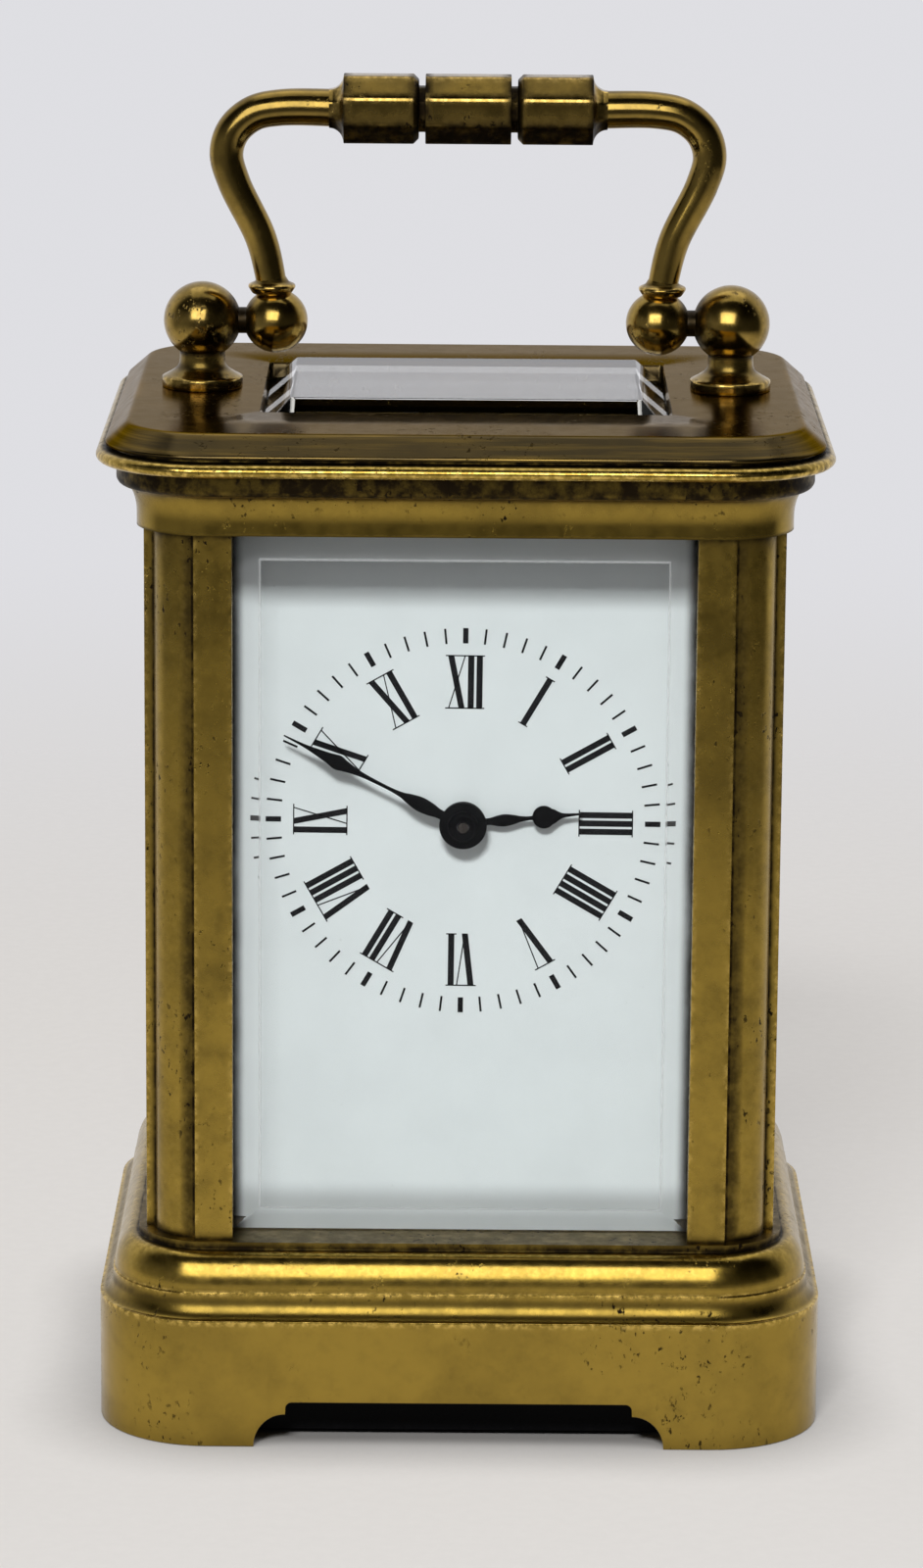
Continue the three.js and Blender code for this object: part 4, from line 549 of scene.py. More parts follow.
def clear_glass(name, grime, shaded_from=1.0, shade_width=1.2 * MM, sheen_colour=(0.7, 0.72, 0.73)):
    """Polished glass with faint smears, which lets lamplight through.

    Its bevels carry a pale painted sheen, most on the ridges, and its upright edges carry painted shade
    beyond a place on both sides.
    """
    made = Finish(
        name, base_color=(0.985, 0.995, 0.99), transmission_weight=1.0, ior=1.5,
        specular_tint=(0.09, 0.09, 0.095))
    smears = made.grain(5, 4, 0.6)
    made.feed("Roughness", made.between(smears, 0.4, 0.75, 0.0, 0.02))
    made.feed("Normal", made.relief(made.grain(14, 2), 0.004))
    lets_through = made.add("BsdfTransparent", {"Color": (0.93, 0.95, 0.945)}).outputs[0]
    lamp_ray = made.add("LightPath").outputs["Is Shadow Ray"]
    surface = made.mixed(lamp_ray, made.shader.outputs[0], lets_through)
    # Painted shade: darker along the upright edges, beside the pillars.
    across = made.calc(made.split(made.place)["X"], "ABSOLUTE", 0.0)
    darkening = made.between(across, shaded_from, shaded_from + shade_width, 0.0, 0.92)
    darkening = made.calc(darkening, "MULTIPLY", made.between(smears, 0.3, 0.6, 0.75, 1.0))
    # A pale diffuse colour paints the sheen on the bevels, and a dark one paints the shade at the upright
    # edges.
    for share, colour in ((made.mark("haze"), sheen_colour), (darkening, grime)):
        surface = made.mixed(share, surface, made.add("BsdfDiffuse", {"Color": colour}).outputs[0])
    made.join(surface, made.tree.nodes["Material Output"].inputs["Surface"])
    return made.material


def paper(
        name, colour, footprint, corner=8.47 * MM, shade_reach=0.008, glow=0.52,
        glow_colour=(1.0, 0.965, 0.93), fade_from=0.09, fade_to=0.36):
    """Matt paper with a fine tooth, paler to the camera, which fades into the background.

    It isn't paler under the clock, whose footprint is a rectangle with round corners.
    """
    made = Finish(name, specular_ior_level=0.2)
    tooth = made.grain(1.2, 4)
    dull = tuple(0.97 * part for part in colour)
    made.feed("Base Color", made.blend(made.between(tooth, 0.3, 0.7), colour, dull))
    made.feed("Roughness", made.between(tooth, 0.3, 0.7, 0.8, 0.95))
    made.feed("Normal", made.relief(tooth, 0.02))
    rays = made.add("LightPath").outputs
    direct = made.calc(rays["Diffuse Depth"], "LESS_THAN", 0.5)
    seen = made.calc(made.calc(rays["Is Camera Ray"], "ADD", rays["Is Glossy Ray"]), "MULTIPLY", direct)
    made.feed("Emission Color", glow_colour)
    open_sky = made.add("AmbientOcclusion", {"Distance": shade_reach}, samples=12).outputs["AO"]
    place = made.split(made.place)
    reach = []
    for axis, half in zip("XY", footprint):
        past = made.calc(made.calc(place[axis], "ABSOLUTE", 0.0), "SUBTRACT", half - corner)
        reach.append(made.calc(made.calc(past, "MAXIMUM", 0.0), "POWER", 2.0))
    from_corner = made.calc(made.add("Math", {0: reach[0], 1: reach[1]}).outputs[0], "POWER", 0.5)
    beside = made.between(from_corner, corner - 2.6 * MM, corner - 0.4 * MM)
    shade = made.calc(open_sky, "MULTIPLY", beside)
    made.feed("Emission Strength", made.calc(made.calc(seen, "MULTIPLY", glow), "MULTIPLY", shade))
    far = made.add("VectorMath", {0: made.place}, operation="LENGTH").outputs["Value"]
    made.feed("Alpha", made.between(far, fade_from, fade_to, 1.0, 0.0))
    return made.material


made_finishes = {}


def finish(name):
    """A finish by its name, made once from the colours."""
    if not made_finishes:
        colours = bpy.context.scene.clock_colours
        tone = SimpleNamespace(**{key: tuple(getattr(colours, key)) for key in Colours.__annotations__})
        # Where the painted shade on the front glass's upright edges begins.
        glass_shaded_from = -pillar_low.x - 7.7 * MM
        made_finishes.update(
            brass=aged_brass("aged brass", tone.brass, tone.tarnish, tone.grime),
            pillar_brass=aged_brass(
                "pillar brass", tone.brass, tone.tarnish, tone.grime,
                roughness=0.24, dulling=0.55, pits=1.0, seed=11),
            cap_brass=aged_brass(
                "dull cap brass", tone.cap, (0.12, 0.085, 0.034), tone.grime,
                roughness=0.17, dulling=0.5, pits=0.7, scratches=0.0003, seed=23,
                rim=(0.58, 0.48, 0.35), worn=(0.34, 0.22, 0.05), streak=(18, 18, 0.5)),
            handle_brass=aged_brass(
                "handle brass", (0.36, 0.24, 0.055), (0.085, 0.06, 0.02), tone.grime,
                roughness=0.17, dulling=0.42, pits=0.9, seed=41),
            # Nearly black brass for the pivots: painted shade between the balls.
            dark_brass=aged_brass(
                "dark brass", (0.03, 0.021, 0.01), tone.grime, tone.grime,
                roughness=0.4, dulling=0.5, pits=0.3, seed=29),
            gilt=aged_brass(
                "gilt brass", tone.gilt, tone.brass, tone.grime,
                roughness=0.34, dulling=0.3, pits=0.15, seed=37),
            steel=turned_steel("turned steel", tone.steel, (0.12, 0.1, 0.08)),
            dark_steel=turned_steel("dark steel", (0.06, 0.053, 0.048), (0.03, 0.025, 0.02)),
            black=black_steel("black steel", tone.black),
            enamel=dial_enamel("white enamel", tone.enamel, tone.grime, dial_low.z),
            printing=dial_print("black dial printing", tone.print_black),
            glass=clear_glass("bevelled glass", tone.grime),
            front_glass=clear_glass("front glass", tone.grime, glass_shaded_from),
            floor=paper("pale paper", tone.floor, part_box("base_plinth")[1]),
        )
    return made_finishes[name]


# Case

def plan(s, along_x, along_y, low_x=None, low_y=None):
    """The case's plan: the ring at an overhang is centre + (corner radius + overhang) direction.

    Directions turn through the four corners and stay square to the sides, where the stations along
    X and Y lie. The lows are the heights of the base's lower edge at the stations.
    """
    corner = np.radians(np.linspace(0, 90, 15))
    low_x = np.zeros(len(along_x)) if low_x is None else low_x
    low_y = np.zeros(len(along_y)) if low_y is None else low_y
    cx, cy = s.half_width - s.corner_radius, s.half_depth - s.corner_radius
    sides = [
        (np.stack([np.full(len(along_y), cx), along_y], 1), low_y),
        (np.stack([-along_x, np.full(len(along_x), cy)], 1), low_x),
        (np.stack([np.full(len(along_y), -cx), -along_y], 1), low_y),
        (np.stack([along_x, np.full(len(along_x), -cy)], 1), low_x),
    ]
    corners = [(cx, cy), (-cx, cy), (-cx, -cy), (cx, -cy)]
    centres, turns, lows = [], [], []
    for quarter, ((places, low), point) in enumerate(zip(sides, corners)):
        centres += [places, np.repeat([point], len(corner), 0)]
        turns += [np.full(len(places), quarter * pi / 2), quarter * pi / 2 + corner]
        lows += [low, np.zeros(len(corner))]
    turn = np.concatenate(turns)
    return np.concatenate(centres), np.stack([np.cos(turn), np.sin(turn)], 1), np.concatenate(lows)


def rings(centres, directions, radius, profile, lows=0.0, follow=None):
    """A profile of (overhang, height) carried round a plan.

    Each point takes its own share, follow, of the lower edge's rise.
    """
    profile = np.asarray(profile, float)
    flat = centres[None] + (radius + profile[:, 0])[:, None, None] * directions[None]
    share = np.zeros(len(profile)) if follow is None else follow
    height = profile[:, 1:2] + share[:, None] * lows
    height = np.broadcast_to(height, flat.shape[:2])
    return np.concatenate([flat, height[..., None]], 2)


def foot_opening(half, reach):
    """The opening between two feet along one side: places and heights of its edge.

    From each foot a hollow quarter of an ellipse rises to an upright step, a quarter round and the flat top.
    """
    curve_width, curve_height, step, round_radius = 2.4, 2.55, 0.45, 0.5
    width_of_step, before_flat, before_corner, flat_points = 0.02, 0.5, 0.3, 5
    turn = np.linspace(0, pi / 2, 14)
    inwards = np.concatenate([
        curve_width * (1 - np.cos(turn)),
        curve_width + width_of_step + round_radius * (1 - np.cos(turn[::2])),
        np.linspace(curve_width + round_radius + before_flat, half, flat_points),
    ])
    top = curve_height + step + round_radius
    rise = np.concatenate([
        curve_height * np.sin(turn),
        curve_height + step + round_radius * np.sin(turn[::2]),
        np.full(flat_points, top),
    ])
    inwards = np.concatenate([[half - reach + before_corner, -width_of_step], inwards])
    rise = np.concatenate([[0, 0], rise])
    places = np.concatenate([inwards - half, (half - inwards)[-2::-1]])
    return places, np.concatenate([rise, rise[-2::-1]])


class BuildBase(bpy.types.Operator):
    """Base plinth: a wall with bracket feet, a cove, a quarter-round and a hollow underside"""

    bl_idname = "carriage_clock.base"
    bl_label = "Base plinth"

    def execute(self, context):
        s = in_mm(context.scene.clock_case)
        wall, hollow, deck = s.base_overhang, 0.62, 12.0
        cove_width, cove_height, fillet = 1.0, 1.6, 0.25
        round_inset, round_width, round_height = 2.67, 1.55, 2.85
        cove_top = s.base_wall + cove_height
        round_foot = cove_top + fillet
        lower = rounded([(hollow, 1), (hollow, 0), (wall, 0), (wall, 1)], 0.14, steps=4)
        upper = np.concatenate([
            [(wall, 5.2), (wall, 8.5)],
            arc((wall, cove_top), (-cove_width, -cove_height), 90, 0, 14),
            [(wall - cove_width, round_foot)],
            arc((wall - round_inset, round_foot), (round_width, round_height), 0, 90, 22),
            [(hollow, round_foot + round_height), (hollow, s.pillar_foot)],
        ])
        upper = denser(rounded(upper, s.edge_round), 0.3)
        profile = np.concatenate([[(hollow, deck)], lower, upper])
        follow = np.concatenate([[0], np.ones(len(lower)), np.zeros(len(upper))])
        height = profile[:, 1]
        marks = corner_marks(profile)
        # Painted shade: dark on the round's top just below the seat, and in the cove under the round.
        seat_shade = rising(height, s.pillar_foot - 0.75, width=0.4, most=0.7)
        cove_shade = 0.6 * close_to(height, cove_top - 0.45, reach=0.4)
        add_mark(marks, "grime", seat_shade, cove_shade)
        # Painted glint: a pale line along the edge at the round's foot.
        add_mark(marks, "wear", close_to(height, round_foot, reach=0.16))
        marks["wear"] = marks["wear"] * (height > s.base_wall / 2)
        along_x, low_x = foot_opening(s.front_feet / 2, s.half_width - s.corner_radius)
        along_y, low_y = foot_opening(s.side_feet / 2, s.half_depth - s.corner_radius)
        centres, directions, lows = plan(s, along_x, along_y, low_x, low_y)
        grid = rings(centres, directions, s.corner_radius, profile, lows, follow)
        put("base_plinth_shell", skin(grid, marks), "case", finish("brass"), ["base_plinth"])
        # The black lining inside the base paints the shade under the arches.
        dress("base_lining", finish("black"))
        return {"FINISHED"}


class BuildPillars(bpy.types.Operator):
    """Four corner pillars, each a rounded bead between two raised strips, with grooves for the glasses"""

    bl_idname = "carriage_clock.pillars"
    bl_label = "Corner pillars"
    strip_end, bead_depth, bead_centre, bead_radius = 3.84, 0.75, 3.6, 2.85
    groove_dirt_width, top_dirt_stretch = 0.18, 2.2

    def execute(self, context):
        s = in_mm(context.scene.clock_case)
        # Painted shade with some dirty spots: darker towards both ends, above the base and, over a longer
        # reach, under the cornice.
        from_end = np.array([0, 0.12, 0.3, 0.7, 1.6])
        darkening = np.array([1.0, 0.85, 0.4, 0.12, 0])
        from_top = self.top_dirt_stretch * from_end[::-1]
        heights = np.concatenate([s.pillar_foot + from_end, s.pillar_top - from_top])
        darkening = np.concatenate([darkening, darkening[::-1]])[:, None]
        for side_y, depth in ((-1, "front"), (1, "rear")):
            outline = denser(rounded(self.outline(side_y > 0), s.edge_round * 0.8, True), 0.3, True)
            marks = corner_marks(outline, 0.22, True)
            depth_in, furthest, width = outline.min(1), outline.max(1), self.groove_dirt_width
            # Darker along the grooves beside the bead.
            on_bead = (depth_in > self.bead_depth - 0.05) & (furthest < self.strip_end + 0.02)
            groove_darkening = rising(depth_in, self.bead_depth + 0.9 * width, -width, most=0.8)
            add_mark(marks, "grime", on_bead * groove_darkening)
            for side_x, side in SIDES:
                node = f"pillar_{depth}_{side}"
                x = side_x * (s.half_width - outline[:, 0])
                y = side_y * (s.half_depth - outline[:, 1])
                flat = np.broadcast_to(np.stack([x, y], 1), (len(heights), len(x), 2))
                level = np.broadcast_to(heights[:, None, None], (len(heights), len(x), 1))
                grid = np.concatenate([flat, level], 2)
                spread = {"grime": np.maximum(marks["grime"], darkening), "wear": 0.5 * marks["wear"] * (1 - darkening)}
                made = skin(grid, spread, flat_ends=True)
                put(node + "_moulding", made, "case", finish("pillar_brass"), [node])
        return {"FINISHED"}

    def outline(self, rear):
        """A pillar's section, in distances inwards from its outer planes: a bead between two strips."""
        flank = [(5.2, 0), (5.2, 3.4)] if rear else [(6.7, 0), (6.7, 1.4), (4.6, 1.4), (4.6, 3.4)]
        inside = [(6, 3.4), (6, 5.2), (5.2, 5.2), (5.2, 6), (3.4, 6), (3.4, 4.6), (1.4, 4.6), (1.4, 6.7)]
        end, deep, centre, radius = self.strip_end, self.bead_depth, self.bead_centre, self.bead_radius
        bead = arc((centre, centre), (radius, radius), 180, 270, 20)
        outer = [(0, 6.7), (0, end), (deep, end)]
        return np.concatenate([flank, inside, outer, bead, [(end, deep), (end, 0)]])


def opening(half_x, half_y, height, directions, centres, radius=0.3):
    """A ring of a rectangular opening with small round corners, at a height, on the plan's directions."""
    reach = np.abs(centres).max(0)
    flat = centres / reach * np.array([half_x - radius, half_y - radius]) + radius * directions
    return np.concatenate([flat, np.full((len(flat), 1), height)], 1)[None]


class BuildTop(bpy.types.Operator):
    """Cornice with its cove and beaded flange, and the chamfered cap with the window for the top glass"""

    bl_idname = "carriage_clock.top"
    bl_label = "Cornice and cap"
    cornice_height, cap_height = 6.1, 1.65
    ledge_width, ledge_depth = 1.7, 1.6

    def execute(self, context):
        s = in_mm(context.scene.clock_case)
        low, high = s.pillar_top, s.pillar_top + self.cornice_height
        put("cornice_moulding", self.cornice(s, low, high), "case", finish("brass"), ["cornice"])
        made = self.cap(s, high, high + self.cap_height)
        put("cap_plate", made, "case", finish("cap_brass"), ["top_cap"])
        return {"FINISHED"}

    def cornice(self, s, low, high):
        """A cove, a small round, an upright band and a bead, from the pillars' tops up to the cap."""
        profile = np.concatenate([
            [(0.55, low)],
            arc((1.45, low + 0.9), (-0.9, 2.15), 0, 90, 16),
            arc((1.45, low + 3.7), (0.6, 0.65), -90, 0, 8)[1:],
            [(2.05, low + 4.7)],
            arc((2.81, low + 5.25), (0.76, 0.55), -90, 90, 16),
            [(2.25, low + 5.8), (2.25, high)],
        ])
        profile = denser(rounded(profile, s.edge_round), 0.25)
        rise = profile[:, 1] - low
        # Painted shade: on the band under the bead, along the lip above the pillars and in the gap under the
        # cap.
        band_shade = np.minimum(rising(rise, 2.9, width=0.3), rising(rise, 4.8, width=-0.3))
        lip_shade = rising(rise, 0.2, width=-0.2, most=0.8)
        joint_shade = rising(rise, 5.68, width=0.1)
        marks = corner_marks(profile)
        add_mark(marks, "grime", band_shade, lip_shade, joint_shade)
        marks["wear"] = marks["wear"] * (1 - marks["grime"])
        x, y, ledge = s.window_half_width, s.window_half_depth, self.ledge_width
        seat = high - self.ledge_depth
        inside = [(x + ledge, y + ledge, high), (x + ledge, y + ledge, seat), (x, y, seat), (x, y, low)]
        return self.plate(s, profile, marks, inside)

    def cap(self, s, high, top):
        """A plate with an upright edge and a broad chamfer."""
        overhang, upright, chamfer_end, flat_end = 2.85, high + 0.2, 1.2, -3.0
        edge = [(overhang, high), (overhang, upright), (chamfer_end, top), (flat_end, top)]
        edge = denser(rounded(edge, 0.22, steps=5), 0.4)
        height = edge[:, 1]
        marks = corner_marks(edge)
        chamfer = (height > high + 0.25) & (height < top - 0.1)
        marks["wear"] = np.maximum(0.8 * marks["wear"], 0.3 * chamfer)
        # Painted shadow along the cap's lower edge, in the gap above the cornice.
        add_mark(marks, "grime", height < high + 0.12)
        x, y = s.window_half_width, s.window_half_depth
        brim = [(0.18, 0), (0.05, 0.05), (0, 0.18), (0, top - high)]
        return self.plate(s, edge, marks, [(x + out, y + out, top - down) for out, down in brim])

    def plate(self, s, profile, marks, inside):
        """A plate round the window: a profile carried round the plan, then clean rings of the opening."""
        along_x = np.linspace(-1, 1, 25)[1:-1] * (s.half_width - s.corner_radius)
        along_y = np.linspace(-1, 1, 21)[1:-1] * (s.half_depth - s.corner_radius)
        centres, directions, _ = plan(s, along_x, along_y)
        outside = rings(centres, directions, s.corner_radius, profile)
        grid = np.concatenate([outside] + [opening(*size, directions, centres) for size in inside])
        clean = np.zeros(len(inside))
        marks = {name: np.concatenate([values, clean]) for name, values in marks.items()}
        return skin(grid, marks, True)


# Handle

def tube(line, radius, steps=32):
    """A round bar along a line in the XZ plane: point = line + radius (cos t across + sin t Y)."""
    along = np.gradient(line, axis=0)
    along = along / np.linalg.norm(along, axis=1, keepdims=True)
    across = np.stack([along[:, 2], np.zeros(len(line)), -along[:, 0]], 1)
    turn = np.linspace(0, 2 * pi, steps, endpoint=False)[None, :, None]
    radius = np.broadcast_to(radius, len(line))[:, None, None]
    return line[:, None] + radius * (np.cos(turn) * across[:, None] + np.sin(turn) * np.array([0, 1, 0]))


def eight_sided(profile, height, edge=0.1):
    """A bar along X: an octagon with softened corners, scaled by the half width at each profile point."""
    turn = np.radians(np.arange(8) * 45 + 22.5)
    octagon = np.stack([np.cos(turn), np.sin(turn)], 1) / cos(pi / 8)
    section = denser(rounded(octagon, edge, True, 4), 0.25, True)
    section_wear_and_glint = corner_marks(section, 0.09, True)["wear"]
    place, half_width = profile[:, :1], profile[:, 1:]
    across = half_width[..., None] * section[None]
    along = np.broadcast_to(place[..., None], (len(profile), len(section), 1))
    grid = np.concatenate([along, across], 2) + np.array([0, 0, height])
    marks = {name: values[:, None] for name, values in corner_marks(profile).items()}
    # Darker in the grooves, and painted shade on the underside.
    groove = (np.abs(place) < 6) & (half_width < 0.9 * half_width.max())
    underside_shade = rising(section[:, 1], 0.1, -0.5)[None]
    add_mark(marks, "grime", groove, underside_shade)
    wear = np.clip(marks["wear"] + section_wear_and_glint[None], 0, 1)
    marks["wear"] = wear * (1 - underside_shade) * (1 - groove)
    return skin(grid, marks, flat_ends=True)


class BuildHandle(bpy.types.Operator):
    """Folding handle: two ball posts on the cap, and the bail with its balls, collars and eight-sided grip"""

    bl_idname = "carriage_clock.handle"
    bl_label = "Handle"
    post_foot, collar_height = -5.1, 2.62
    pivot_radius, shoulder_radius, shoulder_half = 0.7, 1.0, 0.6
    bar_low_radius, bar_radius = 1.1, 1.45

    def execute(self, context):
        s = in_mm(context.scene.clock_handle)
        post = self.post(s)
        for side, word in SIDES:
            made = turned(post, (side * s.post_place, 0, s.axis_height), steps=72)
            self.dirty_joint(made, side * s.post_place, s.axis_height, -side, s.post_ball)
            node = f"handle_post_{word}"
            put(f"handle_ball_post_{word}", made, "case", finish("handle_brass"), [node])
        put("bail_and_grip", self.bail(s), "handle", finish("handle_brass"), ["handle_bail"])
        for side, word in SIDES:
            node = f"handle_pin_{word}"
            made = self.pivot(s, side, *(corner.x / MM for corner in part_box(node)))
            put(f"handle_pivot_{word}", made, "case", finish("dark_brass"), [node])
        return {"FINISHED"}

    def post(self, s):
        """A post's profile about its ball's centre: a round foot, a waisted neck and the ball."""
        foot = self.post_foot
        neck = np.array([(2.55, foot + 1.08), (1.85, foot + 1.6), (1.72, -2.62), (1.72, -2.4)])
        post = np.concatenate([
            [(tip, foot), (3.1, foot), (3.1, foot + 0.8)],
            smooth_line(neck, 10),
            arc((0, 0), (s.post_ball, s.post_ball), -54.3, 89.6, 40),
        ])
        return denser(rounded(post, 0.12), 0.3)

    def pivot(self, s, side, low, high):
        """A pin along X between two places, with a shoulder in the gap between the balls."""
        middle, reach = (low + high) / 2, (high - low) / 2
        gap = (s.post_place - s.post_ball + s.bail_place + s.bail_ball) / 2 - abs(middle)
        thin, thick, half = self.pivot_radius, self.shoulder_radius, self.shoulder_half
        pin = [
            (-reach, tip), (-reach, thin), (gap - half, thin), (gap - half, thick), (gap + half, thick),
            (gap + half, thin), (reach, thin), (reach, tip),
        ]
        pin = denser(rounded(pin, 0.06), 0.3)[:, ::-1] * np.array([1, side])
        return turned(pin[::side], (middle, 0, s.axis_height), "x", 40)

    def dirty_joint(self, made, x, z, way, radius):
        """Painted shade on a ball's side towards the joint, from half its radius on."""
        towards = way * (made.points[:, 0] - x) / radius
        level = np.abs(made.points[:, 2] - z) < radius
        add_mark(made.marks, "grime", rising(towards, 0.5, 0.35, 0.95) * level)

    def bail(self, s):
        """The bail's two bars, balls and collars, and the grip between them."""
        axis = s.axis_height
        bulge, bend_width, bend_height, grip_end = 3.75, 4.0, 3.5, 8.7
        upright = s.rise - bend_height
        flare = np.array([(0.0, 0.02), (0.03, 0.09), (0.12, 0.28), (0.31, 0.5), (0.85, 0.83)])
        side = np.concatenate([
            np.array([s.bail_place, 0]) + flare * np.array([bulge, upright]),
            arc((s.bail_place + bulge - bend_width, upright), (bend_width, bend_height), 0, 90, 3),
            [(grip_end, s.rise)],
        ])
        line = smooth_line(side, 90)
        lower = line[:50]
        collar_x = np.interp(self.collar_height, lower[:, 1], lower[:, 0])
        line = np.stack([line[:, 0], np.zeros(len(line)), line[:, 1] + axis], 1)
        radius = np.linspace(self.bar_low_radius, self.bar_radius, len(line))
        ball = denser(arc((0, 0), (s.bail_ball, s.bail_ball), -89.5, 89.5, 48), 0.4)
        collar = [(0.9, -0.75), (1.5, -0.5), (1.82, -0.02), (1.78, 0.18), (1.3, 0.38), (1.05, 0.8)]
        collar = rounded(collar, 0.1)
        parts = [eight_sided(self.grip(s), axis + s.rise)]
        for way, _ in SIDES:
            knob = turned(ball, (way * s.bail_place, 0, axis), steps=72)
            self.dirty_joint(knob, way * s.bail_place, axis, way, s.bail_ball)
            parts += [
                skin(tube(line * np.array([way, 1, 1]), radius), flat_ends=True),
                knob,
                turned(collar, (way * collar_x, 0, axis + self.collar_height), steps=48),
            ]
        return together(*parts)

    def grip(self, s):
        """Half widths of the grip along X: three parts with grooves between them and coved ends."""
        full, core = s.grip_flats / 2, 1.7
        middle, groove, side, cove, chamfer = 3.25, 0.5, 5.7, 1.1, 0.4
        inner, outer = middle + groove, middle + groove + side
        half = np.concatenate([
            [(middle, full), (middle, core), (inner, core), (inner, full - chamfer), (inner + chamfer, full)],
            arc((outer + cove, full), (cove, full - self.bar_radius), 180, 270, 12),
        ])
        whole = np.concatenate([half[::-1] * np.array([-1, 1]), half])
        return denser(rounded(whole, 0.07), 0.5)


# Dial and hands

def strokes(corners, front, thickness, sunk=0.01):
    """Thin closed bars standing on the dial: each row of corners gives four points (x, z) of a bar's face."""
    count = len(corners)
    levels = np.array([front - thickness, front + sunk])
    flat = np.broadcast_to(corners[:, None], (count, 2, 4, 2))
    depth = np.broadcast_to(levels[None, :, None], (count, 2, 4))
    points = np.stack([flat[..., 0], depth, flat[..., 1]], -1).reshape(-1, 3)
    box = np.array([(0, 1, 2, 3), (7, 6, 5, 4), (0, 4, 5, 1), (1, 5, 6, 2), (2, 6, 7, 3), (3, 7, 4, 0)])
    faces = (np.arange(count)[:, None, None] * 8 + box[None]).reshape(-1, 4)
    return SimpleNamespace(points=points, faces=faces.tolist(), marks={})


def bar(foot, head, width, low, high):
    """A stroke of a letter between two heights: its corners, with level ends."""
    half = width / 2
    return [(foot - half, low), (foot + half, low), (head + half, high), (head - half, high)]


def numeral(letters, s):
    """The strokes of a Roman numeral about its middle, feet at 0.

    One serif line runs over its heads and one under the feet of its I and X.
    """
    pitch, wide, gap, over = 0.64, 1.4, 0.12, 0.16
    tall, thick, thin = s.numeral_height, s.stroke, s.hairline
    made, feet, place = [], [], 0.0
    for letter in letters:
        left, right = place + thick / 2, place + wide - thin
        if letter == "I":
            made.append(bar(left, left, thick, 0, tall))
            feet.append((place, place + thick))
            place += pitch
        else:
            if letter == "V":
                middle = place + wide * 0.52
                made.append(bar(middle, left, thick, 0, tall))
                made.append(bar(middle, right, thin, 0, tall))
            else:
                made.append(bar(right - thick / 2, left, thick, 0, tall))
                made.append(bar(place + thin, right, thin, 0, tall))
                feet.append((place, right))
            place += wide + gap
    width = place - (pitch - thick if letters[-1] == "I" else gap)
    made.append([(-over, tall - thin), (width + over, tall - thin), (width + over, tall), (-over, tall)])
    if feet:
        first, last = feet[0][0] - over, feet[-1][1] + over
        made.append([(first, 0), (last, 0), (last, thin), (first, thin)])
    return np.array(made, float) - np.array([width / 2, 0])


def round_dial(shapes, radius, degrees, centre):
    """Flat shapes (across, out) on the dial: radius + out along the ray at an angle, across to its right."""
    turn = np.radians(degrees)
    ray, right = np.array([sin(turn), cos(turn)]), np.array([cos(turn), -sin(turn)])
    return shapes[..., :1] * right + (radius + shapes[..., 1:]) * ray + np.array([0, centre])


class BuildDial(bpy.types.Operator):
    """Enamel dial with Roman numerals, sixty minute marks and bars at the hours"""

    bl_idname = "carriage_clock.dial"
    bl_label = "Dial"
    words = "XII I II III IIII V VI VII VIII IX X XI".split()
    lean = 0.4
    thickness = 0.02

    def execute(self, context):
        s = in_mm(context.scene.clock_dial)
        dress("dial_plate", finish("enamel"))
        letters = [
            round_dial(numeral(word, s), s.numeral_foot, 30 * hour + self.lean, s.centre_height)
            for hour, word in enumerate(self.words)
        ]
        made = strokes(np.concatenate(letters), s.front, self.thickness)
        put("dial_numerals", made, "case", finish("printing"))
        tall = s.mark_outer - s.mark_inner
        marks = []
        for minute in range(60):
            half = (s.mark_width if minute % 5 else s.five_width) / 2
            face = np.array([[(-half, 0), (half, 0), (half, tall), (-half, tall)]])
            marks.append(round_dial(face, s.mark_inner, 6 * minute + self.lean, s.centre_height))
        made = strokes(np.concatenate(marks), s.front, self.thickness)
        put("dial_minute_marks", made, "case", finish("printing"))
        return {"FINISHED"}


def blade(form, long, front, thickness, fullness=0.6):
    """A hand's blade pointing at twelve: half widths along its length, with a rounded section.

    The section is (w |cos t|^fullness, h |sin t|^fullness) with the signs of cos t and sin t.
    """
    line = smooth_line(form, 70)
    turn = np.linspace(0, 2 * pi, 20, endpoint=False)
    across = np.sign(np.cos(turn)) * np.abs(np.cos(turn)) ** fullness
    deep = np.sign(np.sin(turn)) * np.abs(np.sin(turn)) ** fullness
    x = np.clip(line[:, 1:], 0.03, None) * across[None]
    y = np.broadcast_to(front + thickness / 2 + deep * thickness / 2, x.shape)
    z = np.broadcast_to(line[:, :1] * long, x.shape)
    return skin(np.stack([x, y, z], -1))


def turned_to(made, degrees, height):
    """A hand turned clockwise from twelve about the hands' axis, and raised to it."""
    turn = radians(degrees)
    x, z = made.points[:, 0].copy(), made.points[:, 2].copy()
    made.points[:, 0] = x * cos(turn) + z * sin(turn)
    made.points[:, 2] = z * cos(turn) - x * sin(turn) + height
    return made


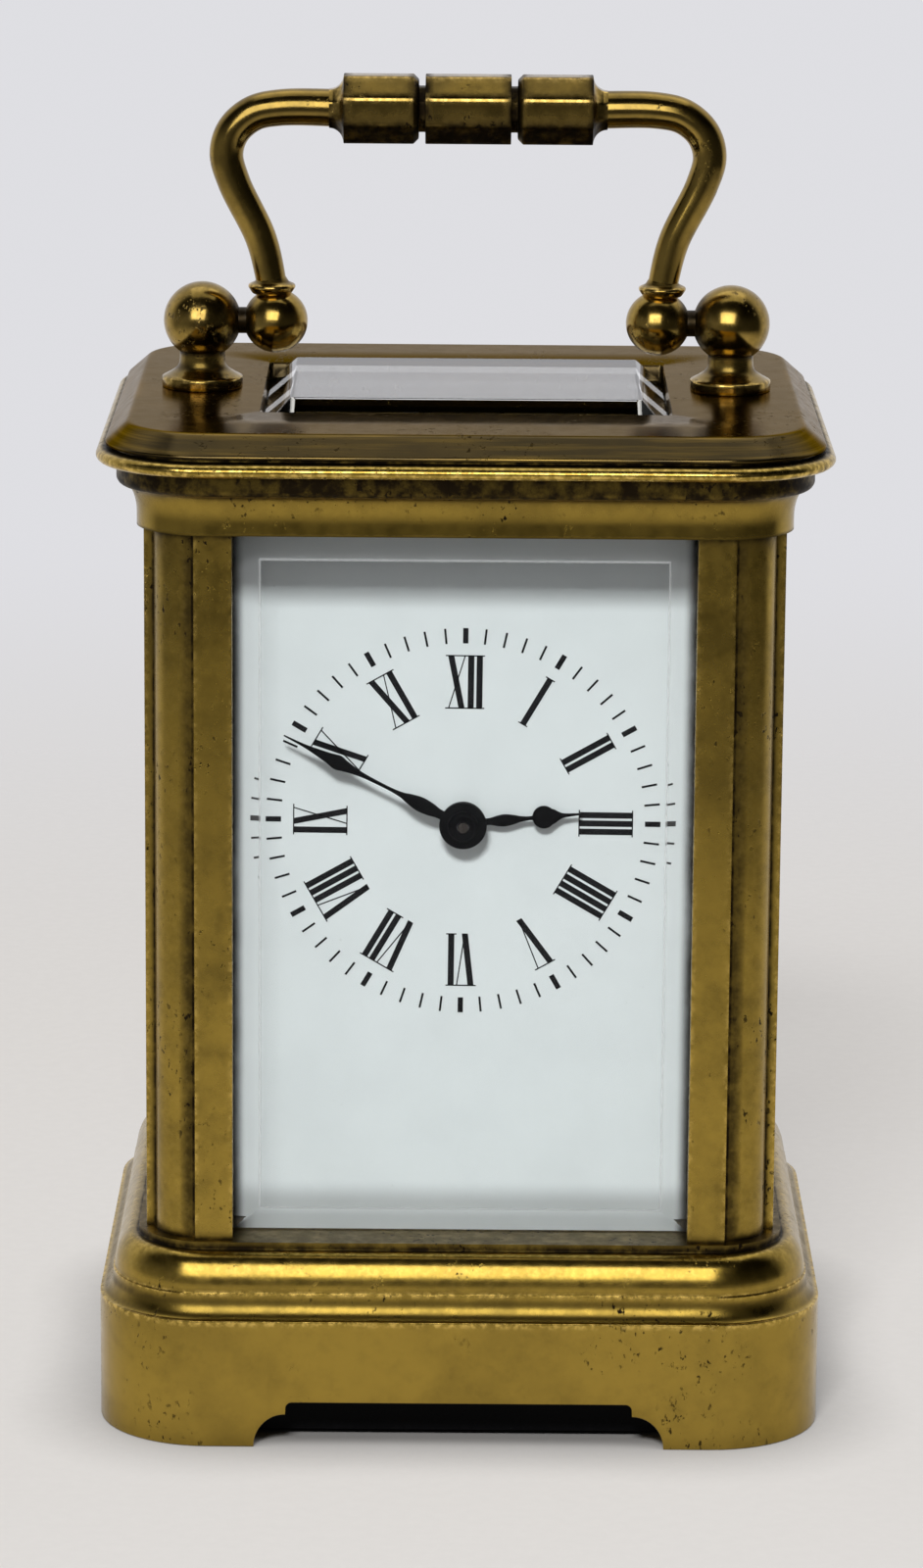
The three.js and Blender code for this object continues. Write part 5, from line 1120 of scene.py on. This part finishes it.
class BuildHands(bpy.types.Operator):
    """Black steel hands with a spade on the hour hand, and the dished collet that holds them"""

    bl_idname = "carriage_clock.hands"
    bl_label = "Hands"
    thickness, minute_gap, hour_gap = 0.28, 1.53, 0.83
    minute_angle, hour_angle = 297.0, 84.75
    minute_boss, hour_boss, spade_radius, spade_place = 1.79, 1.7, 0.87, 6.1
    minute_form = (
        (0.05, 0.36), (0.13, 0.36), (0.18, 0.5), (0.235, 0.57), (0.3, 0.4), (0.35, 0.2), (0.41, 0.13),
        (0.54, 0.16), (0.61, 0.28), (0.665, 0.46), (0.7, 0.58), (0.75, 0.42), (0.81, 0.27), (0.89, 0.12),
        (1, 0.04))
    hour_form = (
        (0.1, 0.26), (0.22, 0.26), (0.29, 0.4), (0.35, 0.47), (0.43, 0.36), (0.5, 0.2), (0.57, 0.15),
        (0.68, 0.4), (0.76, 0.58), (0.81, 0.34), (0.86, 0.16), (1, 0.06))

    def execute(self, context):
        s = in_mm(context.scene.clock_dial)
        front = s.front - self.minute_gap
        made = together(
            blade(self.minute_form, s.minute_length, front, self.thickness),
            self.disc(self.minute_boss, front))
        made = turned_to(made, self.minute_angle, s.centre_height)
        put("minute_hand_blade", made, "minute_work", finish("black"), ["minute_hand"])
        behind = s.front - self.hour_gap
        spade = self.disc(self.spade_radius, behind)
        spade.points = spade.points + np.array([0, 0, self.spade_place])
        made = together(
            blade(self.hour_form, s.hour_length, behind, self.thickness),
            spade,
            self.disc(self.hour_boss, behind))
        made = turned_to(made, self.hour_angle, s.centre_height)
        put("hour_hand_blade", made, "hour_work", finish("black"), ["hour_hand"])
        ring = [(0.47, 0), (1.15, 0), (1.15, -0.3), (0.9, -0.6), (0.6, -0.35), (0.47, -0.35)]
        ring = rounded(ring, 0.06, True)
        made = turned(ring, (0, front, s.centre_height), "y", 40, True)
        put("hand_collet_ring", made, "minute_work", finish("black"), ["hand_collet"])
        dress("centre_arbor", finish("dark_steel"))
        return {"FINISHED"}

    def disc(self, radius, front):
        """A round boss with a softened rim, as thick as the hands."""
        rim = [(tip, 0), (radius, 0), (radius, self.thickness), (tip, self.thickness)]
        return turned(rounded(rim, 0.09, steps=4), (0, front, 0), "y", 48)


# Glasses, door and movement

def bevelled_pane(node, held=2.0, bevel=2.0, edge=0.5, ridge=0.05, sheen_reach=0.08, radius=0.12):
    """A wall's glass in its solid's box, as rings from its inner face round its rim to its outer flat.

    Each ring is a rectangle with small round corners. The outer face slopes from the rim over the bevel.
    The rim stands in the pillars' grooves by the held width. The ridge is a narrow facet; the bevel, and most
    of all the ridge, carry a painted sheen.
    """
    low, high = (np.array(corner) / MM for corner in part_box(node))
    middle, half = (low + high) / 2, (high - low) / 2
    deep = int(np.argmin(half))
    side = 1 - deep
    outwards = np.sign(middle[deep])
    thick = 2 * half[deep]
    slope = (thick - edge) / bevel
    quarter = np.arange(4)[:, None] * pi / 2
    turn = (quarter + np.radians(np.linspace(0, 90, 4))).reshape(-1)
    round_corner = np.stack([np.cos(turn), np.sin(turn)], 1)
    diagonal = turn.reshape(4, 4).mean(1)
    way = np.sign(np.stack([np.cos(diagonal), np.sin(diagonal)], 1)).repeat(4, 0)
    near = ridge + sheen_reach
    steps = [(0, 0, 0), (0, 0, edge), (held, 0.01, edge)]
    for out in (-near, -ridge, ridge, near):
        steps.append((held + bevel + out, bevel + out, thick + slope * min(out, 0)))
    # Painted sheen: a pale share over the bevel, and more on the ridge.
    haze = [0, 0, 0.1, 0.1, 0.36, 0.36, 0]
    grid = np.zeros((len(steps), len(turn), 3))
    for row, (inset_side, inset_up, level) in zip(grid, steps):
        reach = np.array([half[side] - inset_side, half[2] - inset_up]) - radius
        row[:, [side, 2]] = middle[[side, 2]] + way * reach + radius * round_corner
        row[:, deep] = middle[deep] + outwards * (level - thick / 2)
    return skin(grid, {"haze": haze}, flat_ends=True)


class BuildGlasses(bpy.types.Operator):
    """Bevelled glasses of the front, the sides, the top and the door"""

    bl_idname = "carriage_clock.glasses"
    bl_label = "Glasses"

    def execute(self, context):
        for side, look in (("front", "front_glass"), ("left", "glass"), ("right", "glass")):
            node = f"{side}_glass"
            put(f"{side}_pane", bevelled_pane(node), "case", finish(look), [node], smooth=1)
        for node in ("top_glass", "door_glass"):
            softened(node, finish("glass"), 0.07, smooth=12)
        return {"FINISHED"}


class BuildDoor(bpy.types.Operator):
    """Rear door: its frame, knob and pins"""

    bl_idname = "carriage_clock.door"
    bl_label = "Rear door"

    def execute(self, context):
        softened("door_frame", finish("pillar_brass"), 0.12)
        softened("door_knob", finish("brass"), 0.05, smooth=60)
        for node in ("door_pin_bottom", "door_pin_top"):
            dress(node, finish("steel"))
        return {"FINISHED"}


class BuildMovement(bpy.types.Operator):
    """Movement: plates, pillars, going train, winding work, motion work and platform escapement"""

    bl_idname = "carriage_clock.movement"
    bl_label = "Movement"
    gilt_pieces = (
        "front_plate back_plate movement_pillar_low_left movement_pillar_low_right "
        "movement_pillar_high_left movement_pillar_high_right barrel_drum barrel_cover intermediate_wheel "
        "centre_wheel third_wheel contrate_wheel minute_wheel hour_wheel platform_plate escape_wheel "
        "balance_wheel balance_cock").split()
    steel_pieces = (
        "movement_screw_left movement_screw_right barrel_arbor mainspring ratchet_wheel click click_spring "
        "cannon_pinion pallet_lever hairspring base_screw_front_left base_screw_front_right "
        "base_screw_rear_left base_screw_rear_right").split()

    def execute(self, context):
        for node in self.gilt_pieces:
            softened(node, finish("gilt"), 0.05)
        for node in self.steel_pieces:
            dress(node, finish("steel"))
        return {"FINISHED"}


# Stage

def stood(name, data, place, right, up, back):
    """A lamp or a camera at a place, with its own X, Y and Z along three directions."""
    made = linked(name, data)
    turn = Matrix(np.stack([right, up, back], 1).tolist()).to_4x4()
    made.matrix_world = Matrix.Translation(place) @ turn
    return made


class BuildStage(bpy.types.Operator):
    """Pale paper floor, soft lamps, background and the camera"""

    bl_idname = "carriage_clock.stage"
    bl_label = "Stage"
    floor_half, floor_drop = 0.4, 0.00002

    def execute(self, context):
        scene = context.scene
        self.floor()
        middle = (0, 0, 0.045)
        key = self.lamp("key light", (-0.12, -0.8, 0.74), middle, (0.26, 0.16), power=10.4)
        key.visible_glossy = False
        softbox = self.lamp("front softbox", (-0.18, -0.82, 0.48), middle, (0.7, 0.54), power=4.6)
        softbox.visible_diffuse = False
        self.lamp("overhead softbox", (0.05, 0.22, 0.95), (0.05, 0.2, 0.05), (0.9, 0.75), power=1.4)
        self.background(scene)
        self.camera(scene)
        scene.view_settings.view_transform = "Standard"
        return {"FINISHED"}

    def floor(self):
        """A flat square sheet just under the feet."""
        side = np.linspace(-self.floor_half, self.floor_half, 9)
        x, y = np.meshgrid(side, side)
        points = np.stack([x, y, np.full_like(x, -self.floor_drop)], -1).reshape(-1, 3)
        index = np.arange(x.size).reshape(x.shape)
        faces = np.stack([index[:-1, :-1], index[:-1, 1:], index[1:, 1:], index[1:, :-1]], -1).reshape(-1, 4)
        mesh = bpy.data.meshes.new("paper_floor")
        mesh.from_pydata(points.tolist(), [], faces.tolist())
        mesh.materials.append(finish("floor"))
        return linked("paper_floor", mesh)

    def lamp(self, name, place, target, size, power):
        """A rectangular soft lamp that faces a point."""
        light = bpy.data.lights.new(name, "AREA")
        light.shape = "RECTANGLE"
        light.size, light.size_y = size
        light.energy = power
        away = np.array(place) - np.array(target)
        away = away / np.linalg.norm(away)
        nearly_up = (0, 0.001, 1)
        right = np.cross(nearly_up, away)
        right = right / np.linalg.norm(right)
        lamp = stood(name, light, place, right, np.cross(away, right), away)
        lamp.visible_camera = False
        lamp.visible_transmission = False
        return lamp

    def background(self, scene):
        """Pale to the camera and through glass.

        In metal it is pale behind the clock, dim on its left and dark on its right.
        """
        scene.world = bpy.data.worlds.new("studio")
        scene.world.use_nodes = True
        made = Nodes(scene.world.node_tree)
        made.tree.nodes.clear()
        way = made.split(made.add("TexCoord").outputs["Generated"])
        behind = made.between(way["Y"], 0.0, 0.35, ease="LINEAR")
        beside = made.between(way["X"], -0.8, 0.3, 0.3, 0.05, ease="LINEAR")
        low = made.between(way["Z"], 0.1, 0.5, 1.0, 0.12, ease="LINEAR")
        front = made.calc(beside, "MULTIPLY", low)
        share = made.calc(1.0, "SUBTRACT", behind)
        strength = made.add("Math", {0: share, 1: front, 2: behind}, operation="MULTIPLY_ADD").outputs[0]
        colour = tuple(scene.clock_colours.backdrop)
        shown, mirrored, ambient = (
            made.add("Background", {"Color": colour, "Strength": light}).outputs[0]
            for light in (1.0, strength, 0.05))
        rays = made.add("LightPath").outputs
        first = made.calc(rays["Diffuse Depth"], "LESS_THAN", 0.5)
        through = made.calc(rays["Is Transmission Ray"], "MULTIPLY", first)
        seen = made.calc(rays["Is Camera Ray"], "MAXIMUM", through)
        in_metal = made.calc(rays["Is Glossy Ray"], "MULTIPLY", first)
        unseen = made.mixed(in_metal, ambient, mirrored)
        made.add("OutputWorld", {"Surface": made.mixed(seen, unseen, shown)})

    def camera(self, scene):
        """Slightly above the clock and straight in front of it, with the photograph's small roll."""
        eye = np.array([-0.25, -449.48, 150.75]) * MM
        yaw, pitch, roll = np.radians([0.015, 13.121, 0.443])
        ahead = np.array([sin(yaw) * cos(pitch), cos(yaw) * cos(pitch), -sin(pitch)])
        level = np.array([cos(yaw), -sin(yaw), 0])
        upright = np.cross(level, ahead)
        right = cos(roll) * level + sin(roll) * upright
        up = cos(roll) * upright - sin(roll) * level
        lens = bpy.data.cameras.new("camera")
        lens.sensor_fit = "VERTICAL"
        lens.sensor_height = 36
        lens.lens = 136.21
        lens.clip_start = 0.01
        scene.camera = stood("camera", lens, eye, right, up, -ahead)


class ClockPanel(bpy.types.Panel):
    """Sizes, colours and building steps of the clock"""

    bl_idname = "VIEW3D_PT_carriage_clock"
    bl_label = "Carriage clock"
    bl_space_type = "VIEW_3D"
    bl_region_type = "UI"
    bl_category = "Carriage clock"

    def draw(self, context):
        for group, _ in GROUPS:
            box = self.layout.box()
            settings = getattr(context.scene, group)
            for name in type(settings).__annotations__:
                box.prop(settings, name)
        for operator in OPERATORS:
            self.layout.operator(operator.bl_idname)


GROUPS = (
    ("clock_case", CaseSizes), ("clock_handle", HandleSizes), ("clock_dial", DialSizes),
    ("clock_colours", Colours))
OPERATORS = (
    BuildStage, BuildBase, BuildPillars, BuildTop, BuildHandle, BuildDial, BuildHands, BuildGlasses,
    BuildDoor, BuildMovement)


def register():
    for name, group in GROUPS:
        bpy.utils.register_class(group)
        setattr(bpy.types.Scene, name, PointerProperty(type=group))
    for part in (*OPERATORS, ClockPanel):
        bpy.utils.register_class(part)


def unregister():
    for part in (ClockPanel, *reversed(OPERATORS)):
        bpy.utils.unregister_class(part)
    for name, group in reversed(GROUPS):
        delattr(bpy.types.Scene, name)
        bpy.utils.unregister_class(group)


def main():
    """Builds the stage and every piece."""
    register()
    for operator in OPERATORS:
        group, name = operator.bl_idname.split(".")
        getattr(getattr(bpy.ops, group), name)()


if __name__ == "__main__":
    main()
